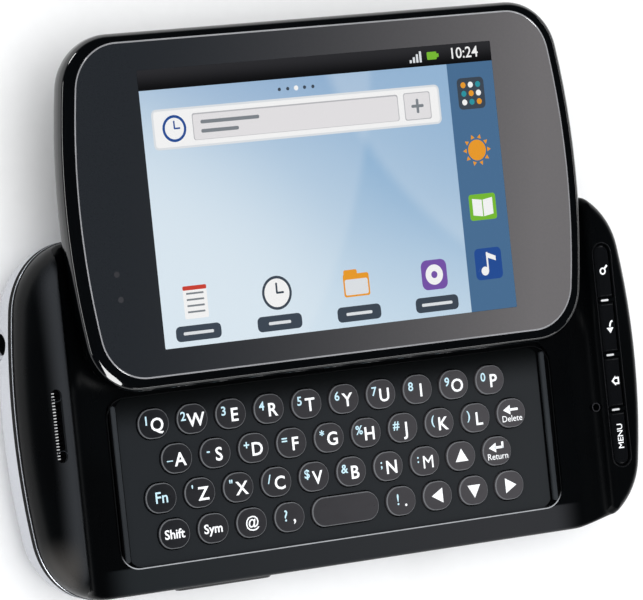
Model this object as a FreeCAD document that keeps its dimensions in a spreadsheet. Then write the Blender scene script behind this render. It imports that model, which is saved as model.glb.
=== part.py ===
"""Slider phone: a keyboard base with two raised wings and a display half that slides between them.

Frame: millimetres, origin at the centre of the base half's back face, +X along the long axis towards
the wing with the four keys, +Y the way the display half slides open, +Z out of the display.
The display half is drawn in the open position.
"""
import FreeCAD, Part
import math
import os
from types import SimpleNamespace

import Sketcher
from FreeCAD import Vector

# ----------------------------------------------------------------------------------------------
# Driving dimensions: alias, millimetres
# ----------------------------------------------------------------------------------------------
SIZES = [
    # base half, outside
    ("base_length", 117.2),
    ("base_width", 58.2),
    ("base_corner", 12.5),
    ("base_bow", 120.0),
    ("crest_height", 14.6),
    ("crown_radius", 5.0),
    ("key_wing_crown", 2.2),
    ("crest_radius", 1.6),
    ("back_radius", 6.0),
    ("rim_radius", 1.0),
    ("shell_wall", 1.6),
    ("overcut", 4.0),
    ("tray_chamfer", 2.5),
    ("parting_height", 7.4),
    ("parting_flat", 84.0),
    ("parting_radius", 62.0),
    # display half
    ("lid_length", 98.2),
    ("lid_width", 57.8),
    ("lid_corner", 9.5),
    ("lid_bow", 134.0),
    ("lid_underside", 10.7),
    ("lid_top", 16.1),
    ("lid_under_radius", 3.4),
    ("lid_top_radius", 1.5),
    ("window_length", 93.2),
    ("window_width", 54.1),
    ("window_corner", 8.0),
    ("window_shift", 0.25),
    ("window_thickness", 1.0),
    ("window_gap", 0.06),
    ("window_bevel", 0.2),
    ("module_length", 74.0),
    ("module_width", 50.0),
    ("module_thickness", 2.1),
    ("module_gap", 0.1),
    ("travel", 32.7),
    ("bay_clearance", 0.4),
    ("bay_end_gap", 0.9),
    # slide
    ("plate_length", 78.0),
    ("plate_width", 50.4),
    ("plate_corner", 3.0),
    ("plate_thickness", 0.5),
    ("rail_spacing", 64.0),
    ("rail_length", 14.0),
    ("rail_centre", 16.5),
    ("rail_web", 1.6),
    ("rail_head", 3.6),
    ("rail_head_height", 0.6),
    ("slide_gap", 0.15),
    ("slide_end_gap", 0.4),
    ("carriage_length", 72.0),
    ("carriage_width", 18.0),
    ("carriage_thickness", 0.8),
    # keyboard
    ("key_pitch", 7.21),
    ("row_pitch", 6.07),
    ("key_width", 5.7),
    ("key_depth", 4.9),
    ("space_width", 12.9),
    ("key_proud", 0.6),
    ("key_bevel", 0.35),
    ("key_gap", 0.2),
    ("key_flange", 0.4),
    ("flange_thickness", 0.5),
    ("flange_gap", 0.1),
    ("key_travel", 0.3),
    ("stem_width", 1.8),
    ("stem_margin", 0.3),
    ("switch_gap", 0.05),
    ("keyboard_centre", -10.9),
    ("panel_length", 82.0),
    ("panel_width", 27.6),
    ("panel_corner", 2.5),
    ("panel_thickness", 0.8),
    ("panel_recess", 0.6),
    ("panel_gap", 0.05),
    ("panel_ledge", 1.2),
    ("well_end", 2.0),
    ("well_front", 0.2),
    ("well_back", 0.9),
    ("well_corner", 4.0),
    ("key_board_margin", 1.0),
    ("wing_board_margin", 0.8),
    ("board_thickness", 0.8),
    # wing keys
    ("wing_key_centre", 52.9),
    ("wing_key_slot", 3.2),
    ("wing_key_pitch", 9.4),
    ("wing_slot_length", 38.1),
    ("wing_key_rib", 0.7),
    ("wing_key_gap", 0.12),
    ("wing_key_proud", 0.2),
    ("wing_rib_proud", 0.1),
    ("wing_key_bevel", 0.4),
    ("wing_wall", 2.0),
    ("wing_pocket", 4.0),
    ("wing_flange", 0.5),
    ("wing_flange_margin", 0.2),
    # earpiece and microphone
    ("earpiece_offset", -53.4),
    ("earpiece_length", 11.8),
    ("earpiece_width", 1.9),
    ("grille_depth", 0.7),
    ("grille_thickness", 0.5),
    ("grille_margin", 0.45),
    ("grille_slit", 0.35),
    ("grille_pitch", 0.8),
    ("mic_offset", 49.9),
    ("mic_station", -8.7),
    ("mic_radius", 0.6),
    ("mic_depth", 3.4),
    # inside the base
    ("battery_length", 60.0),
    ("battery_width", 41.0),
    ("battery_thickness", 3.9),
    ("battery_gap", 0.2),
    ("battery_rest", 0.1),
    ("battery_headroom", 0.3),
    ("battery_shift", -2.0),
    ("bay_wall", 1.0),
    ("cover_length", 84.0),
    ("cover_width", 45.4),
    ("cover_corner", 5.0),
    ("cover_shift", 6.0),
    ("cover_thickness", 1.0),
    ("cover_gap", 0.1),
    ("main_board_length", 88.0),
    ("main_board_width", 51.0),
    ("main_board_shift", 7.0),
    # ports
    ("jack_station", 13.7),
    ("jack_height", 4.6),
    ("jack_setback", 1.2),
    ("jack_nose_length", 5.7),
    ("jack_bore", 1.8),
    ("jack_nose", 2.5),
    ("jack_depth", 14.0),
    ("jack_width", 6.2),
    ("jack_block", 5.4),
    ("jack_end_wall", 1.0),
    ("jack_gap", 0.1),
    ("usb_station", 20.0),
    ("usb_width", 7.6),
    ("usb_height", 2.6),
    ("usb_length", 5.6),
    ("usb_wall", 0.3),
    ("usb_gap", 0.3),
    ("usb_setback", 1.0),
    # camera
    ("camera_offset", -44.0),
    ("camera_window_radius", 4.6),
    ("camera_depth", 5.0),
    ("camera_recess", 0.2),
    ("camera_gap", 0.1),
    ("speaker_station", -15.0),
    ("speaker_slot", 0.8),
    ("speaker_length", 6.0),
    # side controls
    ("control_height", 5.4),
    ("control_flange", 0.6),
    ("control_flange_depth", 2.5),
    ("control_ear", 1.2),
    ("control_reach", 6.0),
    ("control_bevel", 0.3),
    ("power_station", -30.0),
    ("power_length", 9.0),
    ("power_thickness", 2.4),
    ("power_proud", 0.5),
    ("power_gap", 0.15),
    ("rocker_station", -22.0),
    ("rocker_length", 18.0),
    ("rocker_thickness", 2.6),
    ("rocker_proud", 0.6),
    ("rocker_gap", 0.3),
    ("rocker_pivot", 0.9),
]

ROW_STAGGER = (-0.25, 0.25, -0.25, 0.0)
ROW_KEYS = (
    ("q", "w", "e", "r", "t", "y", "u", "i", "o", "p"),
    ("a", "s", "d", "f", "g", "h", "j", "k", "l", "delete"),
    ("fn", "z", "x", "c", "v", "b", "n", "m", "up", "return"),
    ("shift", "symbol", "at", "comma", "space", "period", "left", "down", "right"),
)
WING_KEYS = ("menu", "home", "back", "search")
COLUMNS = 10
FLATS_PER_END = 6
# share of the crest radius that the crest rises before it meets the flat crown
BROW_RISE = 0.975
TOUCH = 1e-4


class Length:
    """A length in millimetres: its present value and the expression that binds it to the sheet."""

    def __init__(self, value, text):
        self.value = value
        self.text = text

    @staticmethod
    def of(item):
        if isinstance(item, Length):
            return item
        return Length(float(item), repr(float(item)))

    def __add__(self, other):
        other = Length.of(other)
        return Length(self.value + other.value, f"({self.text} + {other.text})")

    def __sub__(self, other):
        other = Length.of(other)
        return Length(self.value - other.value, f"({self.text} - {other.text})")

    def __mul__(self, other):
        other = Length.of(other)
        return Length(self.value * other.value, f"({self.text} * {other.text})")

    def __truediv__(self, other):
        other = Length.of(other)
        return Length(self.value / other.value, f"({self.text} / {other.text})")

    def __neg__(self):
        return Length(-self.value, f"(-1 * {self.text})")

    def root(self):
        return Length(math.sqrt(self.value), f"sqrt({self.text})")

    __radd__ = __add__
    __rmul__ = __mul__


doc = FreeCAD.newDocument("slider_phone")
sheet = doc.addObject("Spreadsheet::Sheet", "Sizes")
for row, (alias, millimetres) in enumerate(SIZES, start=1):
    sheet.set(f"A{row}", alias)
    sheet.set(f"B{row}", str(millimetres))
    sheet.setAlias(f"B{row}", alias)
doc.recompute()
size = SimpleNamespace(**{alias: Length(float(sheet.get(alias)), f"Sizes.{alias}") for alias, _ in SIZES})

# ----------------------------------------------------------------------------------------------
# Heights and places that follow from the driving dimensions
# ----------------------------------------------------------------------------------------------
bay_floor = size.lid_underside - size.bay_clearance
panel_top = bay_floor - size.panel_recess
panel_bottom = panel_top - size.panel_thickness
key_top = panel_top + size.key_proud
flange_top = panel_bottom - size.flange_gap
flange_bottom = flange_top - size.flange_thickness
key_board_top = size.parting_height
stem_bottom = key_board_top + size.key_travel + size.switch_gap
battery_bottom = size.cover_thickness + size.battery_rest
battery_top = battery_bottom + size.battery_thickness
main_board_bottom = battery_top + size.battery_headroom
window_bottom = size.lid_top - size.window_thickness
module_top = window_bottom - size.module_gap
module_bottom = module_top - size.module_thickness
plate_top = size.lid_underside + size.plate_thickness
rail_head_bottom = plate_top + size.slide_gap
rail_head_top = rail_head_bottom + size.rail_head_height
end_x = size.base_length / 2
side_y = size.base_width / 2
flank_centre_x = size.lid_length / 2 - size.lid_under_radius + size.bay_end_gap
under_centre_z = size.lid_underside + size.lid_under_radius
bay_radius = size.lid_under_radius + size.bay_clearance
crest_centre_z = size.crest_height - size.crest_radius * BROW_RISE
wing_ceiling = size.crest_height - size.wing_wall
grille_top = size.crest_height - size.grille_depth
jack_tip = end_x - size.jack_setback
jack_block_face = jack_tip - size.jack_nose_length
usb_centre_z = main_board_bottom - size.usb_height / 2


# ----------------------------------------------------------------------------------------------
# Bodies and sketches
# ----------------------------------------------------------------------------------------------
class Drawing:
    """A sketch on one of its own body's origin planes, drawn with bound constraints."""

    def __init__(self, body, name, plane="XY_Plane", height=None):
        self.sketch = body.newObject("Sketcher::SketchObject", f"{body.Name}_{name}")
        support = next(item for item in body.Origin.OriginFeatures if item.Role == plane)
        self.sketch.AttachmentSupport = [(support, "")]
        self.sketch.MapMode = "FlatFace"
        if height is not None:
            self.sketch.setExpression("AttachmentOffset.Base.z", height.text)
        self.constraints = []

    def add(self, shapes):
        return list(self.sketch.addGeometry(shapes, False))

    def tie(self, kind, *items):
        self.constraints.append((Sketcher.Constraint(kind, *items), None))

    def measure(self, kind, *items):
        """A dimension bound to its expression; the last item is the length."""
        length = Length.of(items[-1])
        self.constraints.append((Sketcher.Constraint(kind, *items[:-1], length.value), length.text))

    def finish(self):
        """Give the sketch its constraints and bind its dimensions."""
        indices = self.sketch.addConstraint([constraint for constraint, _ in self.constraints])
        for index, (_, text) in zip(indices, self.constraints):
            if text is not None:
                self.sketch.setExpression(f"Constraints[{index}]", text)

    def at_x(self, shape, point, x):
        self.measure("DistanceX", -1, 1, shape, point, x)

    def at_y(self, shape, point, y):
        self.measure("DistanceY", -1, 1, shape, point, y)

    def rectangle(self, x0, x1, y0, y1):
        x0, x1, y0, y1 = (Length.of(item) for item in (x0, x1, y0, y1))
        corners = [Vector(x.value, y.value, 0) for x, y in ((x0, y0), (x1, y0), (x1, y1), (x0, y1))]
        sides = self.add([Part.LineSegment(corners[i], corners[(i + 1) % 4]) for i in range(4)])
        for i in range(4):
            self.tie("Coincident", sides[i], 2, sides[(i + 1) % 4], 1)
        for i, kind in enumerate(("Horizontal", "Vertical", "Horizontal", "Vertical")):
            self.tie(kind, sides[i])
        self.at_x(sides[0], 1, x0)
        self.at_x(sides[0], 2, x1)
        self.at_y(sides[0], 1, y0)
        self.at_y(sides[2], 1, y1)

    def circle(self, x, y, radius):
        x, y, radius = Length.of(x), Length.of(y), Length.of(radius)
        ring, = self.add([Part.Circle(Vector(x.value, y.value, 0), Vector(0, 0, 1), radius.value)])
        self.measure("Radius", ring, radius)
        self.at_x(ring, 3, x)
        self.at_y(ring, 3, y)

    def rounded_rectangle(self, x, y, length, width, corner):
        x, y, corner = Length.of(x), Length.of(y), Length.of(corner)
        right, top = x + length / 2, y + width / 2
        left, bottom = x - length / 2, y - width / 2
        r = corner.value
        x0, x1, y0, y1 = left.value, right.value, bottom.value, top.value
        quarter = math.pi / 2
        items = self.add([
            Part.LineSegment(Vector(x0 + r, y0, 0), Vector(x1 - r, y0, 0)),
            arc_about(x1 - r, y0 + r, r, -quarter, 0),
            Part.LineSegment(Vector(x1, y0 + r, 0), Vector(x1, y1 - r, 0)),
            arc_about(x1 - r, y1 - r, r, 0, quarter),
            Part.LineSegment(Vector(x1 - r, y1, 0), Vector(x0 + r, y1, 0)),
            arc_about(x0 + r, y1 - r, r, quarter, 2 * quarter),
            Part.LineSegment(Vector(x0, y1 - r, 0), Vector(x0, y0 + r, 0)),
            arc_about(x0 + r, y0 + r, r, 2 * quarter, 3 * quarter),
        ])
        for i in range(8):
            self.tie("Tangent", items[i], 2, items[(i + 1) % 8], 1)
        for i, kind in zip((0, 2, 4, 6), ("Horizontal", "Vertical", "Horizontal", "Vertical")):
            self.tie(kind, items[i])
        for i in (3, 5, 7):
            self.tie("Equal", items[1], items[i])
        self.measure("Radius", items[1], corner)
        self.at_y(items[0], 1, bottom)
        self.at_x(items[2], 1, right)
        self.at_y(items[4], 1, top)
        self.at_x(items[6], 1, left)

    def bowed_rectangle(self, x, y, length, width, corner, bow):
        """A rounded rectangle whose two ends are bowed to a large radius."""
        x, y, corner, bow = (Length.of(item) for item in (x, y, corner, bow))
        right_centre = x + length / 2 - bow
        left_centre = x - length / 2 + bow
        top, bottom = y + width / 2, y - width / 2
        r, radius = corner.value, bow.value
        rise = top.value - y.value - r
        reach = right_centre.value + math.sqrt((radius - r) ** 2 - rise ** 2) - x.value
        turn = math.asin(rise / (radius - r))
        cx, cy = x.value, y.value
        items = self.add([
            Part.LineSegment(Vector(cx - reach, bottom.value, 0), Vector(cx + reach, bottom.value, 0)),
            arc_about(cx + reach, cy - rise, r, -math.pi / 2, -turn),
            arc_about(right_centre.value, cy, radius, -turn, turn),
            arc_about(cx + reach, cy + rise, r, turn, math.pi / 2),
            Part.LineSegment(Vector(cx + reach, top.value, 0), Vector(cx - reach, top.value, 0)),
            arc_about(cx - reach, cy + rise, r, math.pi / 2, math.pi - turn),
            arc_about(left_centre.value, cy, radius, math.pi - turn, math.pi + turn),
            arc_about(cx - reach, cy - rise, r, math.pi + turn, 1.5 * math.pi),
        ])
        for i in range(8):
            self.tie("Tangent", items[i], 2, items[(i + 1) % 8], 1)
        self.tie("Horizontal", items[0])
        self.tie("Horizontal", items[4])
        for i in (3, 5, 7):
            self.tie("Equal", items[1], items[i])
        self.tie("Equal", items[2], items[6])
        self.measure("Radius", items[1], corner)
        self.measure("Radius", items[2], bow)
        self.at_x(items[2], 3, right_centre)
        self.at_y(items[2], 3, y)
        self.at_x(items[6], 3, left_centre)
        self.at_y(items[6], 3, y)
        self.at_y(items[0], 1, bottom)
        self.at_y(items[4], 1, top)

    def capsule(self, x, y, length, width, upright=False):
        """A slot with round ends, along X or, upright, along Y."""
        x, y, width = Length.of(x), Length.of(y), Length.of(width)
        half = (Length.of(length) - width) / 2
        r, h, cx, cy = width.value / 2, half.value, x.value, y.value
        quarter = math.pi / 2
        if upright:
            items = self.add([
                Part.LineSegment(Vector(cx + r, cy - h, 0), Vector(cx + r, cy + h, 0)),
                arc_about(cx, cy + h, r, 0, 2 * quarter),
                Part.LineSegment(Vector(cx - r, cy + h, 0), Vector(cx - r, cy - h, 0)),
                arc_about(cx, cy - h, r, 2 * quarter, 4 * quarter),
            ])
        else:
            items = self.add([
                Part.LineSegment(Vector(cx - h, cy - r, 0), Vector(cx + h, cy - r, 0)),
                arc_about(cx + h, cy, r, -quarter, quarter),
                Part.LineSegment(Vector(cx + h, cy + r, 0), Vector(cx - h, cy + r, 0)),
                arc_about(cx - h, cy, r, quarter, 3 * quarter),
            ])
        for i in range(4):
            self.tie("Tangent", items[i], 2, items[(i + 1) % 4], 1)
        self.tie("Vertical" if upright else "Horizontal", items[0])
        self.tie("Equal", items[1], items[3])
        self.measure("Radius", items[1], width / 2)
        if upright:
            self.at_x(items[1], 3, x)
            self.at_y(items[1], 3, y + half)
            self.at_y(items[3], 3, y - half)
        else:
            self.at_y(items[1], 3, y)
            self.at_x(items[1], 3, x + half)
            self.at_x(items[3], 3, x - half)

    def faceted_capsule(self, x, y, length, width):
        """A capsule along X whose round ends are flats, for what repeats."""
        x, y, radius = Length.of(x), Length.of(y), Length.of(width) / 2
        half = Length.of(length) / 2 - radius
        corners = []
        for side in (1, -1):
            for step in range(FLATS_PER_END):
                turn = math.pi / FLATS_PER_END * (step + 0.5 - FLATS_PER_END / 2)
                corners.append((x + (half + radius * math.cos(turn)) * side,
                                y + radius * (math.sin(turn) * side)))
        points = [Vector(px.value, py.value, 0) for px, py in corners]
        count = len(points)
        flats = self.add([Part.LineSegment(points[i], points[(i + 1) % count]) for i in range(count)])
        for i in range(count):
            self.tie("Coincident", flats[i], 2, flats[(i + 1) % count], 1)
            self.at_x(flats[i], 1, corners[i][0])
            self.at_y(flats[i], 1, corners[i][1])


def arc_about(x, y, radius, start, end):
    return Part.ArcOfCircle(Part.Circle(Vector(x, y, 0), Vector(0, 0, 1), radius), start, end)


def new_body(name):
    body = doc.addObject("PartDesign::Body", name)
    body.Label = name
    return body


def finish_feature(body, feature, earlier):
    """Recompute, and see that the feature changed the solid it was given."""
    doc.recompute()
    if not feature.isValid() or feature.Shape.isNull():
        raise RuntimeError(f"{feature.Label} failed")
    if earlier is not None and abs(feature.Shape.Volume - earlier) < 1e-6:
        raise RuntimeError(f"{feature.Label} changed nothing")
    return feature


def volume_so_far(body):
    return body.Tip.Shape.Volume if body.Tip is not None else None


def pad(body, drawing, length, reverse=False):
    drawing.finish()
    earlier = volume_so_far(body)
    feature = body.newObject("PartDesign::Pad", f"{drawing.sketch.Name}_pad")
    feature.Profile = drawing.sketch
    feature.Reversed = reverse
    feature.setExpression("Length", Length.of(length).text)
    return finish_feature(body, feature, earlier)


def pocket(body, drawing, length=None, reverse=False, both_ways=False):
    """Cut downwards from the sketch by a length, or right through where none is given."""
    drawing.finish()
    earlier = volume_so_far(body)
    feature = body.newObject("PartDesign::Pocket", f"{drawing.sketch.Name}_cut")
    feature.Profile = drawing.sketch
    feature.Reversed = reverse
    if both_ways:
        feature.SideType = "Symmetric"
    if length is None:
        feature.Type = "ThroughAll"
    else:
        feature.setExpression("Length", Length.of(length).text)
    return finish_feature(body, feature, earlier)


def edges_where(shape, test):
    return [f"Edge{i}" for i, edge in enumerate(shape.Edges, start=1) if edge.Length > TOUCH and test(edge)]


def all_at_height(edge, z):
    return all(abs(vertex.Z - z) < TOUCH for vertex in edge.Vertexes)


def dress(body, kind, name, test, length):
    """A Fillet or Chamfer on the edges of the tip that pass the test."""
    base = body.Tip
    names = edges_where(base.Shape, test)
    earlier = base.Shape.Volume
    feature = body.newObject(f"PartDesign::{kind}", f"{body.Name}_{name}")
    feature.Base = (base, names)
    feature.setExpression("Radius" if kind == "Fillet" else "Size", Length.of(length).text)
    return finish_feature(body, feature, earlier)


def combine(body, other, kind):
    """Cut: subtract another body, such as the core that leaves a hollow. Common: keep what both fill."""
    earlier = volume_so_far(body)
    feature = body.newObject("PartDesign::Boolean", f"{other.Name}_{kind.lower()}")
    feature.Type = kind
    feature.Group = [other]
    feature.Refine = True
    return finish_feature(body, feature, earlier)


# ----------------------------------------------------------------------------------------------
# Shared outlines
# ----------------------------------------------------------------------------------------------
def base_outline(drawing, inset=0.0):
    inset = Length.of(inset)
    drawing.bowed_rectangle(0, 0, size.base_length - inset * 2, size.base_width - inset * 2,
                            size.base_corner - inset, size.base_bow - inset)


def parting_profile(drawing, far):
    """The region on one side of the parting line: flat in the middle, rising in an arc to each end."""
    half = size.parting_flat / 2
    low = size.parting_height
    reach = end_x + size.overcut
    rise = low + size.parting_radius - (size.parting_radius * size.parting_radius
                                        - (reach - half) * (reach - half)).root()
    radius, centre_z = size.parting_radius.value, (low + size.parting_radius).value
    turn = math.asin((reach.value - half.value) / radius)
    x_half, x_far = half.value, reach.value
    z_low, z_rise, z_far = low.value, rise.value, far.value
    items = drawing.add([
        Part.LineSegment(Vector(-x_half, z_low, 0), Vector(x_half, z_low, 0)),
        arc_about(x_half, centre_z, radius, -math.pi / 2, -math.pi / 2 + turn),
        Part.LineSegment(Vector(x_far, z_rise, 0), Vector(x_far, z_far, 0)),
        Part.LineSegment(Vector(x_far, z_far, 0), Vector(-x_far, z_far, 0)),
        Part.LineSegment(Vector(-x_far, z_far, 0), Vector(-x_far, z_rise, 0)),
        arc_about(-x_half, centre_z, radius, -math.pi / 2 - turn, -math.pi / 2),
    ])
    line, right, right_side, lid, left_side, left = items
    drawing.tie("Tangent", line, 2, right, 1)
    drawing.tie("Coincident", right, 2, right_side, 1)
    drawing.tie("Coincident", right_side, 2, lid, 1)
    drawing.tie("Coincident", lid, 2, left_side, 1)
    drawing.tie("Coincident", left_side, 2, left, 1)
    drawing.tie("Tangent", left, 2, line, 1)
    drawing.tie("Horizontal", line)
    drawing.tie("Horizontal", lid)
    drawing.tie("Vertical", right_side)
    drawing.tie("Vertical", left_side)
    drawing.tie("Equal", right, left)
    drawing.measure("Radius", right, size.parting_radius)
    drawing.at_x(right, 3, half)
    drawing.at_x(left, 3, -half)
    drawing.at_y(line, 1, low)
    drawing.at_x(right_side, 1, reach)
    drawing.at_x(left_side, 1, -reach)
    drawing.at_y(lid, 1, far)


def bay_profile(drawing):
    """The space between the wings: floor, hollow flanks that follow the display half's ends, soft crests."""
    rise = under_centre_z - crest_centre_z
    reach = bay_radius + size.crest_radius
    crest_centre_x = flank_centre_x + (reach * reach - rise * rise).root()
    top = size.lid_top + size.overcut
    r1, r2 = bay_radius.value, size.crest_radius.value
    x1, z1 = flank_centre_x.value, under_centre_z.value
    x2, z2 = crest_centre_x.value, crest_centre_z.value
    lean = math.atan2(z2 - z1, x2 - x1)
    brow = math.acos((size.crest_height.value - z2) / r2)
    brow_x = x2 - r2 * math.sin(brow)
    floor, crest, lid = bay_floor.value, size.crest_height.value, top.value
    down, up = -math.pi / 2, math.pi / 2
    items = drawing.add([
        Part.LineSegment(Vector(-x1, floor, 0), Vector(x1, floor, 0)),
        arc_about(x1, z1, r1, down, lean),
        arc_about(x2, z2, r2, up + brow, math.pi + lean),
        Part.LineSegment(Vector(brow_x, crest, 0), Vector(brow_x, lid, 0)),
        Part.LineSegment(Vector(brow_x, lid, 0), Vector(-brow_x, lid, 0)),
        Part.LineSegment(Vector(-brow_x, lid, 0), Vector(-brow_x, crest, 0)),
        arc_about(-x2, z2, r2, -lean, up - brow),
        arc_about(-x1, z1, r1, math.pi - lean, math.pi - down),
    ])
    floor_line, flank, brow_arc, side, lid_line, far_side, far_brow, far_flank = items
    drawing.tie("Tangent", floor_line, 2, flank, 1)
    drawing.tie("Tangent", flank, 2, brow_arc, 2)
    drawing.tie("Coincident", brow_arc, 1, side, 1)
    drawing.tie("Coincident", side, 2, lid_line, 1)
    drawing.tie("Coincident", lid_line, 2, far_side, 1)
    drawing.tie("Coincident", far_side, 2, far_brow, 2)
    drawing.tie("Tangent", far_brow, 1, far_flank, 1)
    drawing.tie("Tangent", far_flank, 2, floor_line, 1)
    for line, kind in ((floor_line, "Horizontal"), (side, "Vertical"),
                       (lid_line, "Horizontal"), (far_side, "Vertical")):
        drawing.tie(kind, line)
    drawing.tie("Equal", flank, far_flank)
    drawing.tie("Equal", brow_arc, far_brow)
    drawing.measure("Radius", flank, bay_radius)
    drawing.measure("Radius", brow_arc, size.crest_radius)
    drawing.at_x(flank, 3, flank_centre_x)
    drawing.at_x(far_flank, 3, -flank_centre_x)
    drawing.at_y(floor_line, 1, bay_floor)
    drawing.at_y(brow_arc, 3, crest_centre_z)
    drawing.at_y(far_brow, 3, crest_centre_z)
    drawing.at_y(side, 1, size.crest_height)
    drawing.at_y(far_side, 2, size.crest_height)
    drawing.at_y(lid_line, 1, top)


# ----------------------------------------------------------------------------------------------
# Base half: housings
# ----------------------------------------------------------------------------------------------
def keyboard_region(drawing, front, back, end, corner):
    """The keyboard panel's outline with a margin at its front edge, back edge and ends."""
    front, back, end = Length.of(front), Length.of(back), Length.of(end)
    drawing.rounded_rectangle(0, size.keyboard_centre + (back - front) / 2, size.panel_length + end * 2,
                              size.panel_width + front + back, corner)


def rail_places():
    return (-(size.rail_spacing / 2), size.rail_spacing / 2)


def crowned_blank(name, radius):
    """The front housing's whole block, with its upper edge rounded."""
    body = new_body(name)
    blank = Drawing(body, "blank", height=size.parting_height)
    base_outline(blank)
    pad(body, blank, size.crest_height - size.parting_height)
    dress(body, "Fillet", "crown", lambda edge: all_at_height(edge, size.crest_height.value), radius)
    return body


def front_housing():
    body = crowned_blank("front_housing", size.key_wing_crown)
    bay = Drawing(body, "bay", plane="XZ_Plane")
    bay_profile(bay)
    pocket(body, bay, both_ways=True)

    def on_rim(edge):
        middle = (edge.FirstParameter + edge.LastParameter) / 2
        above_floor = min(vertex.Z for vertex in edge.Vertexes) > bay_floor.value - TOUCH
        return (above_floor and not all_at_height(edge, size.crest_height.value)
                and abs(edge.tangentAt(middle).y) < 0.999)
    dress(body, "Fillet", "rim", on_rim, size.rim_radius)

    # the wing with the keys has a tight crown; the earpiece's wing is trimmed to a softer one
    softer = crowned_blank("earpiece_wing", size.crown_radius)
    key_side = Drawing(softer, "key_side", height=size.parting_height)
    key_side.rectangle(0, end_x + size.overcut, -side_y - size.overcut, side_y + size.overcut)
    pad(softer, key_side, size.crest_height - size.parting_height)
    combine(body, softer, "Common")

    parting = Drawing(body, "parting", plane="XZ_Plane")
    parting_profile(parting, size.parting_height - size.overcut)
    pocket(body, parting, both_ways=True)

    # keyboard well, the panel's seat in it, and the opening the keys pass through
    well = Drawing(body, "well", height=bay_floor)
    keyboard_region(well, size.well_front, size.well_back, size.well_end, size.well_corner)
    pocket(body, well, size.panel_recess)
    seat = Drawing(body, "panel_seat", height=panel_top)
    keyboard_region(seat, size.panel_gap, size.panel_gap, size.panel_gap, size.panel_corner)
    pocket(body, seat, size.panel_thickness)
    opening = Drawing(body, "key_opening", height=panel_bottom)
    keyboard_region(opening, -size.panel_ledge, -size.panel_ledge, -size.panel_ledge, size.panel_corner)
    pocket(body, opening)

    # seat of the slide carriage
    carriage = Drawing(body, "carriage_seat", height=bay_floor)
    carriage.rectangle(-(size.carriage_length / 2), size.carriage_length / 2,
                       size.rail_centre - size.carriage_width / 2, size.rail_centre + size.carriage_width / 2)
    pocket(body, carriage, size.carriage_thickness)

    # wing keys: a cavity from below, one long slot in the crown, and ribs between the keys
    cavity = Drawing(body, "wing_cavity", height=wing_ceiling)
    wing_cavity(cavity, size.wing_key_centre, size.wing_slot_length / 2 + size.wing_board_margin)
    pocket(body, cavity)
    slot = Drawing(body, "wing_slot", height=size.crest_height + size.overcut)
    slot.capsule(size.wing_key_centre, 0, size.wing_slot_length, size.wing_key_slot, upright=True)
    pocket(body, slot, size.wing_wall + size.overcut)
    ribs = Drawing(body, "wing_ribs", height=wing_ceiling)
    for place in (-1, 0, 1):
        middle = size.wing_key_pitch * place
        ribs.rectangle(size.wing_key_centre - size.wing_key_slot / 2 - size.panel_gap,
                       size.wing_key_centre + size.wing_key_slot / 2 + size.panel_gap,
                       middle - size.wing_key_rib / 2, middle + size.wing_key_rib / 2)
    pad(body, ribs, size.wing_wall + size.wing_rib_proud)

    # earpiece: a cavity from below, the grille's seat over it, and the slot in the crown
    cavity = Drawing(body, "earpiece_cavity", height=wing_ceiling)
    wing_cavity(cavity, size.earpiece_offset, size.earpiece_length / 2 + size.wing_board_margin)
    pocket(body, cavity)
    seat = Drawing(body, "grille_seat", height=grille_top)
    seat.capsule(size.earpiece_offset, 0, size.earpiece_length + size.grille_margin * 2,
                 size.earpiece_width + size.grille_margin * 2, upright=True)
    pocket(body, seat, grille_top - wing_ceiling)
    slot = Drawing(body, "earpiece_slot", height=size.crest_height + size.overcut)
    slot.capsule(size.earpiece_offset, 0, size.earpiece_length, size.earpiece_width, upright=True)
    pocket(body, slot, size.grille_depth + size.overcut)

    microphone = Drawing(body, "microphone", height=size.crest_height + size.overcut)
    microphone.circle(size.mic_offset, size.mic_station, size.mic_radius)
    pocket(body, microphone, size.mic_depth + size.overcut)
    return body


def wing_cavity(drawing, x, half_length):
    drawing.rectangle(x - size.wing_pocket / 2, x + size.wing_pocket / 2, -half_length, half_length)


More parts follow.
